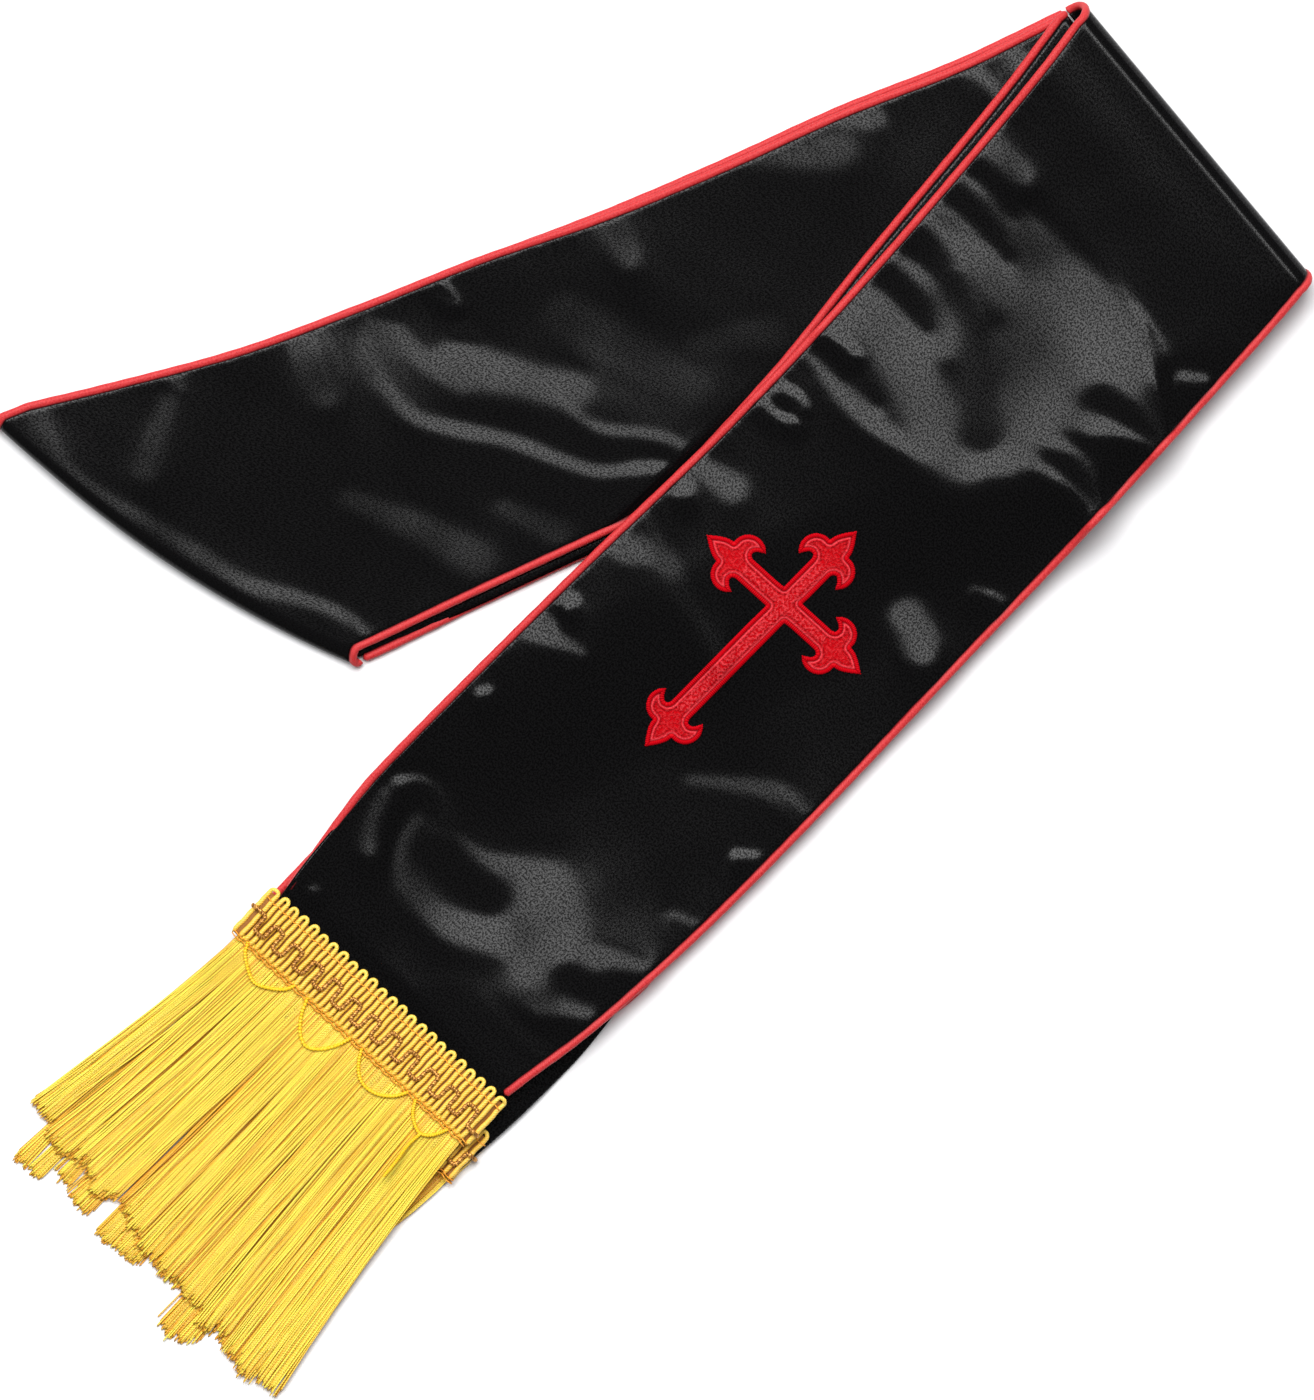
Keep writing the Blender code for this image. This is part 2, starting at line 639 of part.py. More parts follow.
def build():
    for old in list(bpy.data.objects):
        bpy.data.objects.remove(old)
    bpy.context.scene.collection.children.link(parts)
    satin = material("black satin", SATIN_BLACK, 0.35)
    cord = material("red satin piping", PIPING_RED, 0.45)
    thread = material("red embroidery", THREAD_RED, 0.5)
    gold = material("gold rayon", FRINGE_GOLD, 0.4)
    for layer in LAYERS:
        cloth_wall(layer, satin)
        piping_cord(layer, "left", 0.0, cord)
        piping_cord(layer, "right", 1.0, cord)
    applique("cross_applique", thread)
    fringe(FRONT_TRIM, front_braid_path(), gold)
    fringe(UNDER_TRIM, under_braid_path(), gold)


build()
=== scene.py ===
import math
from collections import namedtuple

import bmesh
import bpy
import numpy as np
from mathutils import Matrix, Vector


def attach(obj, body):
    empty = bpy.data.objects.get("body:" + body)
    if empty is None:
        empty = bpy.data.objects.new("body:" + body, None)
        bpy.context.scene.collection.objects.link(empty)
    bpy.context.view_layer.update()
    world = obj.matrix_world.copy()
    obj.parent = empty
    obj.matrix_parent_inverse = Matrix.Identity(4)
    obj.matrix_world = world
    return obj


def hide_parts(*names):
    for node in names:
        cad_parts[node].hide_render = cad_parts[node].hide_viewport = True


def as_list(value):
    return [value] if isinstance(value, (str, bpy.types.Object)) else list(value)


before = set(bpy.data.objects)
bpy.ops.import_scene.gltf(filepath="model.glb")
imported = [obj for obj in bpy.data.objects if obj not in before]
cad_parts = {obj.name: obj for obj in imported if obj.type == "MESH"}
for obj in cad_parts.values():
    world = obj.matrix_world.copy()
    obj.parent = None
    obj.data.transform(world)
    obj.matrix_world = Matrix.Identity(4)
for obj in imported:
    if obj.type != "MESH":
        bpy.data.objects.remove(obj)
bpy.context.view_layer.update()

MM = 0.001

# Table, lamps and camera
# The folded stole lies on a pale table and is seen straight from above, turned as in the
# photograph. One wide lamp high on the photograph's upper left leaves flat satin dark and
# lights only the slopes that lean towards it; the room gives a weak even fill.
VIEW_CENTRE = Vector((0.0961, -0.0041, 0.008))
VIEW_TALL = 0.567
VIEW_TURN_DEG = 43.18
CAMERA_HEIGHT = 12.0
CAMERA_SENSOR = 36.0
CAMERA_REACH = 50.0
TABLE_SIZE = 7.0
TABLE_COLOUR = (0.86, 0.86, 0.87)
TABLE_MOTTLE, MOTTLE_SCALE = 0.02, 3.0
ROOM_COLOUR = (0.98, 0.99, 1.0)
ROOM_STRENGTH = 0.24
LAMP_SIDE = Vector((-0.79, 0.61)).normalized()
LAMP_HEIGHT = 12.6
LAMP_NEAR_DEG, LAMP_FAR_DEG = 9.5, 46.0
LAMP_ACROSS = 13.8
LAMP_POWER = 4100.0

camera_data = bpy.data.cameras.new("camera")
camera_data.sensor_width = CAMERA_SENSOR
camera_data.lens = CAMERA_SENSOR * CAMERA_HEIGHT / VIEW_TALL
camera_data.clip_end = CAMERA_REACH
camera = bpy.data.objects.new("camera", camera_data)
camera.location = VIEW_CENTRE + Vector((0, 0, CAMERA_HEIGHT))
camera.rotation_euler = (0, 0, math.radians(VIEW_TURN_DEG))
bpy.context.scene.collection.objects.link(camera)
bpy.context.scene.camera = camera
# The plain transform keeps the reds and the gold as strong as they are in the photograph.
bpy.context.scene.view_settings.view_transform = "Standard"

lamp_near = LAMP_HEIGHT * math.tan(math.radians(LAMP_NEAR_DEG))
lamp_far = LAMP_HEIGHT * math.tan(math.radians(LAMP_FAR_DEG))
lamp_data = bpy.data.lights.new("wide lamp", "AREA")
lamp_data.shape = "RECTANGLE"
lamp_data.size = lamp_far - lamp_near
lamp_data.size_y = LAMP_ACROSS
lamp_data.energy = LAMP_POWER
lamp = bpy.data.objects.new("wide lamp", lamp_data)
lamp.location = Vector((*(VIEW_CENTRE.xy + LAMP_SIDE * (lamp_near + lamp_far) / 2), LAMP_HEIGHT))
lamp.rotation_euler = (0, 0, math.atan2(LAMP_SIDE.y, LAMP_SIDE.x))
bpy.context.scene.collection.objects.link(lamp)

room = bpy.data.worlds.new("room")
room.use_nodes = True
room.node_tree.nodes["Background"].inputs["Color"].default_value = (*ROOM_COLOUR, 1.0)
room.node_tree.nodes["Background"].inputs["Strength"].default_value = ROOM_STRENGTH
bpy.context.scene.world = room


def feed(tree, socket, value):
    """Links a node's output to a socket, or sets the socket to a value."""
    if isinstance(value, bpy.types.NodeSocket):
        tree.links.new(value, socket)
    else:
        socket.default_value = value


def add_node(tree, kind, inputs=None, **settings):
    """A node with its settings and inputs; an input may be a value or another node's output."""
    made = tree.nodes.new(kind)
    for name, value in settings.items():
        setattr(made, name, value)
    for name, value in (inputs or {}).items():
        feed(tree, made.inputs[name], value)
    return made


def new_material(name, roughness, specular, **constants):
    """A material with its own shader, whose constant sockets are set here and never linked."""
    made = bpy.data.materials.new(name)
    made.use_nodes = True
    shader = made.node_tree.nodes["Principled BSDF"]
    shader.inputs["Roughness"].default_value = roughness
    shader.inputs["Specular IOR Level"].default_value = specular
    for socket, value in constants.items():
        shader.inputs[socket.replace("_", " ").title()].default_value = value
    return made, made.node_tree, shader


table_finish, tree, shader = new_material("pale table", 0.8, 0.2)
place = add_node(tree, "ShaderNodeTexCoord")
mottle = add_node(tree, "ShaderNodeTexNoise", {"Vector": place.outputs["Object"], "Scale": MOTTLE_SCALE})
tint = add_node(tree, "ShaderNodeValToRGB", {"Fac": mottle.outputs["Fac"]})
tint.color_ramp.elements[0].color = (*TABLE_COLOUR, 1.0)
tint.color_ramp.elements[1].color = (*(level + TABLE_MOTTLE for level in TABLE_COLOUR), 1.0)
tree.links.new(tint.outputs["Color"], shader.inputs["Base Color"])

bm = bmesh.new()
bmesh.ops.create_grid(bm, x_segments=2, y_segments=2, size=TABLE_SIZE / 2)
table_mesh = bpy.data.meshes.new("table_top")
bm.to_mesh(table_mesh)
bm.free()
table_mesh.materials.append(table_finish)
table_top = bpy.data.objects.new("table_top", table_mesh)
bpy.context.scene.collection.objects.link(table_top)

# How the folded stole lies
# One strip, 140 mm wide, is folded in half at the neck and again across both tails. The
# sizes are the part's own, in millimetres: each layer's two piped edges, and how high each
# layer lies on the ones below it.
CLOTH, PIPING = 1.8, 4.0
GAP, SEAM, TAIL_GAP = 0.3, 0.8, 0.7
BRAID_HEIGHT, BRAID_THICKNESS, LOOP_PITCH = 21.0, 1.6, 5.4
FAR_FOLD_Y, FAR_FOLD_SLOPE = 478.0, -0.123
NECK_AXIS_DEG = -114.8
UNDER_FOLD_INSET = 8.4
OUTER_REACH, INNER_REACH, NECK_REACH = 6.5, 2.5, 3.5
TAIL_LIFT, RAMP, EDGE_SPREAD = 8.8, 66.0, 17.0
FRONT_CREST, FRONT_RAMP, FRONT_SETTLE, FRONT_SPREAD = 24.0, 70.0, 26.0, 48.0
NECK_FOLD_TOP, NECK_FOLD_BOTTOM, NECK_FOLD_BULGE = 496.0, 396.0, 8.0
FRONT_END_Y, UNDER_END_Y = -18.0, -31.0
FRONT_PIPING_Y, UNDER_PIPING_Y = 4.2, -8.5
FRONT_TURN, UNDER_TURN, NECK_TURN = 0.9, 0.9, 0.88
CENTRE = np.array((-100.4, 166.7, 0.0))

Section = namedtuple("Section", "along left right")
FRONT_TAIL = [
    Section(-20, -62.0, 58.0),
    Section(0, -64.0, 61.0),
    Section(16, -66.0, 63.6),
    Section(40, -67.6, 68.0),
    Section(65, -68.4, 71.0),
    Section(113, -67.3, 74.6),
    Section(186, -64.6, 76.2),
    Section(260, -61.0, 76.4),
    Section(335, -60.8, 76.9),
    Section(405, -63.4, 75.8),
    Section(455, -66.6, 74.3),
    Section(490, -70.5, 71.5),
]
UNDER_TAIL = [
    Section(-32, -64.0, 67.5),
    Section(0, -64.5, 70.5),
    Section(40, -64.0, 71.9),
    Section(89, -63.0, 72.4),
    Section(200, -61.5, 71.0),
    Section(292, -62.0, 69.5),
    Section(349, -66.3, 68.0),
    Section(435, -71.7, 64.5),
    Section(480, -76.5, 60.5),
]
NECK_TOP_LAYER = [
    Section(-25, -69.0, 64.0),
    Section(30, -68.0, 61.0),
    Section(77, -64.5, 57.0),
    Section(129, -65.0, 55.5),
    Section(182, -62.8, 55.5),
    Section(235, -62.4, 56.5),
    Section(286, -65.2, 59.0),
    Section(339, -65.6, 61.6),
    Section(391, -67.2, 64.6),
    Section(441, -73.2, 66.0),
    Section(480, -79.0, 67.0),
]
NECK_LOWER_LAYER = [
    Section(-25, -70.0, 67.8),
    Section(21, -70.0, 66.5),
    Section(77, -66.8, 63.5),
    Section(129, -67.2, 61.8),
    Section(182, -64.9, 61.8),
    Section(235, -63.9, 62.6),
    Section(293, -65.0, 64.9),
    Section(339, -64.6, 67.2),
    Section(391, -66.2, 69.8),
    Section(441, -72.2, 70.5),
    Section(480, -78.0, 70.5),
]

Fade = namedtuple("Fade", "start length")
BRAID_FADE = Fade(6.0, 34.0)
WRAP_FADE = Fade(-34.0, 88.0)
ABOVE_BRAID = Fade(-2.0, 12.0)
NECK_SHOWN = Fade(-1.0, 5.0)
UNDER_PIPED, FRONT_PIPED = Fade(20.0, 40.0), Fade(8.0, 40.0)
FAR_CLEAR = Fade(12.0, 26.0)
NECK_PUFF = Fade(330.0, 130.0)
PUFF_RISE = 1.9

NECK_AXIS = np.array((math.cos(math.radians(NECK_AXIS_DEG)), math.sin(math.radians(NECK_AXIS_DEG))))
NECK_SIDE = np.array((-NECK_AXIS[1], NECK_AXIS[0]))
FOLD_OUT = np.array((-FAR_FOLD_SLOPE, 1.0)) / math.hypot(FAR_FOLD_SLOPE, 1.0)


def smooth(value):
    value = np.clip(value, 0.0, 1.0)
    return value * value * (3 - 2 * value)


def fade_in(value, fade):
    return smooth((value - fade.start) / fade.length)


def mix(a, b, share):
    return a + (b - a) * share


def along_table(table, along, column):
    """The smooth curve through a table's column, by the slopes of the rows on either side."""
    knots = np.array([row.along for row in table], float)
    values = np.array([getattr(row, column) for row in table], float)
    before = np.maximum(np.arange(len(table)) - 1, 0)
    after = np.minimum(np.arange(len(table)) + 1, len(table) - 1)
    slopes = (values[after] - values[before]) / (knots[after] - knots[before])
    along = np.clip(along, knots[0], knots[-1])
    i = np.clip(np.searchsorted(knots[1:], along, side="left"), 0, len(table) - 2)
    span = knots[i + 1] - knots[i]
    t = (along - knots[i]) / span
    ends = values[i] * (2 * t**3 - 3 * t**2 + 1) + values[i + 1] * (3 * t**2 - 2 * t**3)
    return ends + slopes[i] * span * (t**3 - 2 * t**2 + t) + slopes[i + 1] * span * (t**3 - t**2)


def to_neck(x, y):
    """Places on the table as lengths along the neck band from the far fold, and across it."""
    dy = y - FAR_FOLD_Y
    return x * NECK_AXIS[0] + dy * NECK_AXIS[1], x * NECK_SIDE[0] + dy * NECK_SIDE[1]


def from_neck(along, across):
    return (
        NECK_AXIS[0] * along + NECK_SIDE[0] * across,
        FAR_FOLD_Y + NECK_AXIS[1] * along + NECK_SIDE[1] * across,
    )


def edge_rise(inside):
    return 1 - smooth(inside / EDGE_SPREAD)


def inside_by(table, along, across):
    """How far inside the nearer of a layer's two edges each place lies."""
    return np.minimum(across - along_table(table, along, "left"), along_table(table, along, "right") - across)


def climb(x, y):
    """The tails climb from the table onto the neck band over a soft slope."""
    along, across = to_neck(x, y)
    inside = along_table(NECK_TOP_LAYER, along, "right") - across
    return TAIL_LIFT * smooth(1 + inside / RAMP)


def braid_lift(y):
    """Near its end the under tail is raised by its own braid, which faces down."""
    return (BRAID_THICKNESS + 2 * GAP) * smooth(1 - (y - BRAID_FADE.start) / BRAID_FADE.length)


# The satin layers
# Heavy black satin, interlined and lined, sewn into a soft strip. The puckers along the
# piped edges and the broad creases come from storing and folding it; every layer is one
# thin shell, drawn in to the piping's seam at both edges.
SHELL = 1.6
RIM_SHARE, RIM_TAPER = 0.8, 1.5
RIM_MARGIN = 2.9
EDGE_HOLD, EDGE_LIFT = 10.0, 0.8

# A crease is a flank that leans towards the lamp: half its width, how steep it is, how far
# behind it the cloth has fallen back again, and the line that it follows.
Crease = namedtuple("Crease", "wide slope back path")
FRONT_CREASES = [
    Crease(1.6, 0.40, 7, ((-62, 318), (-50, 320), (-38, 320))),
    Crease(2.8, 0.34, 9, ((56, 283), (66, 287), (74, 288))),
    Crease(1.6, 0.38, 6, ((-58, 281), (-46, 281), (-37, 286))),
    Crease(1.5, 0.36, 6, ((-56, 290), (-46, 292), (-38, 290))),
    Crease(3.0, 0.30, 9, ((-58, 228), (-54, 235))),
    Crease(2.6, 0.32, 8, ((-60, 164), (-56, 170))),
    Crease(3.2, 0.34, 10, ((-61, 114), (-55, 121))),
    Crease(2.0, 0.24, 8, ((60, 138), (70, 146))),
    Crease(2.0, 0.28, 6, ((-56, 10), (-50, 14))),
    Crease(2.0, 0.22, 6, ((18, 2), (28, 7))),
]
NECK_CREASES = [
    Crease(1.3, 0.34, 4, ((-188, 226), (-180, 227), (-170, 225))),
    Crease(1.2, 0.30, 4, ((-188, 222), (-178, 222), (-170, 223))),
]
UNDER_CREASES = [
    Crease(6.0, 0.16, 20, ((-50, 150), (-30, 172), (0, 180))),
    Crease(8.0, 0.14, 24, ((10, 90), (26, 120), (50, 132))),
    Crease(5.0, 0.18, 16, ((-56, 300), (-30, 312), (-6, 306))),
    Crease(9.0, 0.13, 26, ((0, 340), (24, 366), (56, 374))),
    Crease(5.0, 0.18, 16, ((-52, 60), (-30, 52), (-8, 60))),
]
LOWER_CREASES = [
    Crease(5.0, 0.18, 18, ((-196, 196), (-164, 176), (-128, 190), (-92, 212))),
    Crease(8.0, 0.14, 26, ((-178, 236), (-150, 250), (-122, 270))),
    Crease(7.0, 0.14, 24, ((-214, 130), (-196, 152), (-176, 164))),
    Crease(7.0, 0.14, 24, ((-120, 330), (-96, 350), (-70, 362))),
]

# A crease fades out at both ends over a share of its length, over no less than a few of its
# half widths and no more than a few millimetres.
CREASE_END_SHARE, CREASE_END_LEAST, CREASE_END_MOST = 0.3, 2.5, 16.0
FAR_AWAY = 1e9

# A sheen is a stretch of cloth with one lean towards the lamp, or away from it where the
# lean is negative: half its width at both ends of its middle line, and how much it leans.
# A later row lies over the ones before it.
Sheen = namedtuple("Sheen", "wide end lean path")
FRONT_SHEENS = [
    Sheen(24, 24, -0.035, ((-50, 452), (60, 440))),
    Sheen(9, 7, 0.12, ((-60, 419), (-44, 417))),
    Sheen(6, 9, 0.13, ((-56, 399), (-30, 403), (-8, 403), (14, 401), (32, 395))),
    Sheen(15, 15, 0.13, ((-22, 388), (0, 384), (20, 381))),
    Sheen(15, 13, 0.14, ((20, 378), (27, 355), (29, 332))),
    Sheen(9, 3.5, 0.14, ((28, 391), (42, 388), (58, 382), (74, 376))),
    Sheen(9, 1.5, 0.14, ((28, 356), (44, 362), (58, 370), (75, 375))),
    Sheen(5, 1.5, 0.15, ((34, 346), (52, 351), (66, 345), (76, 338))),
    Sheen(5, 1.5, 0.14, ((30, 335), (50, 338), (64, 339), (76, 334))),
    Sheen(4, 4, 0.13, ((60, 403), (67, 408))),
    Sheen(9, 8, 0.13, ((0, 369), (12, 358), (20, 345))),
    Sheen(13, 14, 0.14, ((-60, 333), (-40, 335), (-20, 328), (2, 320), (18, 318))),
    Sheen(3, 6, 0.13, ((-60, 358), (-46, 360), (-32, 357), (-18, 345))),
    Sheen(3, 5, 0.13, ((-62, 309), (-44, 304), (-24, 302), (-4, 306), (14, 313))),
    Sheen(3, 3, 0.12, ((-60, 386), (-48, 387), (-36, 384))),
    Sheen(3, 7, 0.12, ((-60, 379), (-40, 379), (-8, 376))),
    Sheen(4, 1.5, -0.05, ((-62, 407), (-50, 408), (-34, 404))),
    Sheen(5, 2, -0.06, ((-64, 393), (-46, 394), (-24, 390))),
    Sheen(5, 3.5, -0.05, ((-62, 370), (-48, 369), (-34, 366))),
    Sheen(4, 8, -0.06, ((-34, 366), (-18, 358), (-4, 347), (8, 338), (17, 330))),
    Sheen(5, 2, -0.06, ((-62, 350), (-48, 350), (-28, 346))),
    Sheen(5, 2, -0.06, ((-62, 314), (-44, 314), (-22, 311))),
    Sheen(5, 1.5, -0.05, ((42, 374), (54, 377), (70, 376))),
    Sheen(3, 1.5, -0.05, ((50, 345), (64, 342))),
    Sheen(4, 7, 0.11, ((-60, 242), (-42, 245))),
    Sheen(9, 6, 0.12, ((44, 257), (52, 254), (60, 249))),
    Sheen(3, 2, 0.09, ((-60, 213), (-48, 210))),
    Sheen(8, 4, 0.105, ((-58, 198), (-44, 205), (-26, 200))),
    Sheen(5, 4, 0.07, ((-28, 200), (-14, 197), (0, 192))),
    Sheen(7, 3, 0.12, ((-60, 150), (-40, 155))),
    Sheen(4, 2, 0.15, ((-60, 66), (-54, 73), (-46, 75), (-38, 71), (-28, 66))),
    Sheen(3, 7, 0.12, ((-30, 66), (-14, 67), (0, 73), (12, 79))),
    Sheen(17, 15, 0.14, ((12, 70), (24, 67), (32, 60), (34, 50))),
    Sheen(8, 3, 0.12, ((40, 60), (52, 72), (66, 80))),
    Sheen(4, 9, 0.13, ((-44, 62), (-41, 52), (-34, 44), (-20, 38), (-6, 38), (6, 43), (18, 50))),
    Sheen(5, 4, 0.11, ((-60, 58), (-56, 48), (-48, 38))),
    Sheen(6, 3, 0.11, ((44, 40), (54, 46), (62, 50))),
    Sheen(5, 7, -0.05, ((-30, 54), (-14, 54), (0, 57))),
    Sheen(3, 3, -0.05, ((-49, 67), (-42, 67))),
    Sheen(6, 2, -0.05, ((46, 55), (60, 59))),
    Sheen(3, 6, 0.085, ((26, 147), (40, 158), (52, 166), (68, 171))),
    Sheen(2, 2.5, 0.10, ((58, 103), (70, 107))),
    Sheen(13, 13, -0.02, ((20, 12), (58, 14))),
]
NECK_SHEENS = [
    Sheen(34, 24, -0.03, ((-200, 122), (-130, 116))),
    Sheen(9, 12, 0.045, ((-138, 250), (-110, 256), (-84, 262))),
    Sheen(7, 7, 0.04, ((-102, 238), (-80, 248))),
    Sheen(3, 7, 0.085, ((-192, 201), (-172, 197), (-152, 202))),
    Sheen(10, 8, 0.095, ((-158, 207), (-144, 213), (-130, 221), (-114, 230))),
    Sheen(2.0, 3.0, 0.11, ((-198, 196), (-188, 186), (-174, 179))),
    Sheen(4, 3, 0.11, ((-174, 179), (-156, 178), (-140, 186), (-120, 198), (-100, 206),
                       (-86, 213), (-76, 224))),
    Sheen(2.5, 3, 0.11, ((-126, 227), (-112, 224), (-98, 226), (-86, 235), (-72, 243), (-60, 244))),
    Sheen(3, 3, 0.12, ((-76, 224), (-68, 232), (-58, 234))),
    Sheen(8, 5, 0.07, ((-154, 292), (-136, 284))),
    Sheen(5, 7, 0.08, ((-211, 173), (-202, 167), (-188, 160))),
    Sheen(5, 9, 0.065, ((-152, 136), (-124, 146), (-98, 154))),
    Sheen(4, 6, 0.05, ((-104, 176), (-80, 184))),
    Sheen(5, 7, 0.07, ((-232, 114), (-226, 100), (-220, 90))),
    Sheen(4, 2, 0.10, ((-240, 124), (-232, 122))),
    Sheen(3, 4, 0.085, ((-272, 80), (-258, 72), (-242, 67), (-224, 69), (-204, 74), (-182, 78))),
    Sheen(4, 3.5, 0.09, ((-182, 78), (-160, 82), (-142, 91), (-124, 99), (-108, 101))),
    Sheen(8, 8, 0.06, ((-128, 352), (-104, 374))),
    Sheen(5, 5, 0.08, ((-114, 384), (-102, 394))),
    Sheen(3.5, 2, 0.12, ((-100, 428), (-84, 436), (-70, 434))),
    Sheen(3.5, 2, 0.12, ((-94, 446), (-82, 452), (-68, 448))),
    Sheen(5, 7, 0.04, ((-92, 278), (-74, 302))),
]
SHEEN_CELL, SHEEN_BORDER, SHEEN_ROUNDS = 2.0, 60.0, 5
# How firmly the cloth keeps its slopes outside the sheens and across the lamp's direction,
# over how many millimetres it settles again, and how low it may lie on the layer below.
LOOSE, ASIDE = 0.04, 0.20
SETTLE, SUNK_SETTLE, SINK_LIMIT = 200.0, 14.0, -0.4

# Slow waves over a whole layer: how long each is, its heading and its height.
# From layer to layer they are turned by some degrees and shifted.
Wave = namedtuple("Wave", "length heading rise start")
LAYER_TURN_DEG, LAYER_SHIFT = 17, 1.7
SLOW_WAVES = [
    Wave(74, 20, 0.12, 0.3),
    Wave(49, 75, 0.07, 1.9),
    Wave(33, 140, 0.035, 4.1),
    Wave(23, 50, 0.02, 2.2),
]
PUCKER_LENGTH, PUCKER_RISE, PUCKER_REACH, PUCKER_SEAM = 10.5, 0.09, 9.0, 2.5
# How much of its creases a hidden layer shows, and how far each layer may sink and rise.
LOWER_RELIEF, UNDER_RELIEF = 0.35, 0.3
LOWER_LOWEST, UNDER_LOWEST, HIDDEN_HIGHEST = -2.0, -1.0, 2.4
NECK_LOWEST, FRONT_LOWEST = -1.2, -1.6
LOWER_SAG, LOWER_SAG_WIDTH = 0.35, 10.0


def smooth_path(points, spacing=2.0):
    """Points every few millimetres on the smooth curve through a crease's few."""
    knots = np.array(points, float)
    length = np.concatenate(([0.0], np.cumsum(np.hypot(*np.diff(knots, axis=0).T))))
    rows = [Section(a, x, y) for a, (x, y) in zip(length, knots)]
    along = np.linspace(0.0, length[-1], max(int(length[-1] / spacing), 2) + 1)
    return np.stack([along_table(rows, along, "left"), along_table(rows, along, "right")], axis=1)


def crease_heights(x, y, creases):
    """The creases' rise at these places: a flank towards the lamp and a slower fall behind it."""
    total = np.zeros_like(x)
    for crease in creases:
        path = smooth_path(crease.path)
        steps = np.diff(path, axis=0)
        lengths = np.hypot(steps[:, 0], steps[:, 1])
        starts = np.concatenate(([0.0], np.cumsum(lengths)))
        whole = starts[-1]
        run = path[-1] - path[0]
        leans = -run[1] * LAMP_SIDE.x + run[0] * LAMP_SIDE.y
        nearest = np.full_like(x, FAR_AWAY)
        along = np.zeros_like(x)
        side = np.zeros_like(x)
        last = len(steps) - 1
        for i, (step, length) in enumerate(zip(steps, lengths)):
            ux, uy = step / length
            dx, dy = x - path[i, 0], y - path[i, 1]
            t = dx * ux + dy * uy
            held = np.clip(t, -FAR_AWAY if i == 0 else 0.0, FAR_AWAY if i == last else length)
            off = np.hypot(dx - held * ux, dy - held * uy)
            closer = off < nearest
            cross = -uy * dx + ux * dy
            nearest = np.where(closer, off, nearest)
            along = np.where(closer, starts[i] + held, along)
            side = np.where(closer, np.sign(cross) * off, side)
        if leans > 0:
            side = -side
        end = min(max(CREASE_END_SHARE * whole, CREASE_END_LEAST * crease.wide), CREASE_END_MOST)
        shown = smooth(along / end + 0.5) * smooth((whole - along) / end + 0.5)
        up = 0.5 + 0.5 * np.tanh(side / crease.wide)
        down = 0.5 + 0.5 * np.tanh((side - crease.back) / (0.5 * crease.back))
        total += 2 * crease.wide * crease.slope * (up - down) * shown
    return total


def sheen_share(x, y, sheen):
    """How much of a sheen's lean each place has: 1 near its middle line, 0 beyond its edge."""
    path = smooth_path(sheen.path, 3.0)
    widths = np.linspace(sheen.wide, sheen.end, len(path))
    nearest = np.full_like(x, FAR_AWAY)
    for i, (start, end) in enumerate(zip(path[:-1], path[1:])):
        span = end - start
        dx, dy = x - start[0], y - start[1]
        share = np.clip((dx * span[0] + dy * span[1]) / span.dot(span), 0.0, 1.0)
        off = np.hypot(dx - share * span[0], dy - share * span[1])
        nearest = np.minimum(nearest, off / mix(widths[i], widths[i + 1], share))
    return 1 - smooth(nearest - 0.5)


def relaxed(stiffness, load, rise, steps=400):
    """Brings rise nearer to stiffness(rise) = load by conjugate gradients."""
    left = load - stiffness(rise)
    search = left.copy()
    size = np.sum(left * left)
    for _ in range(steps):
        answer = stiffness(search)
        part = size / np.sum(search * answer)
        rise = rise + part * search
        left -= part * answer
        smaller = np.sum(left * left)
        search = left + smaller / size * search
        size = smaller
    return rise


def slopes_of(rise):
    """How steeply a grid of heights climbs along x and along y."""
    slope_x, slope_y = np.zeros_like(rise), np.zeros_like(rise)
    slope_x[:, :-1] = np.diff(rise, axis=1) / SHEEN_CELL
    slope_y[:-1] = np.diff(rise, axis=0) / SHEEN_CELL
    return slope_x, slope_y


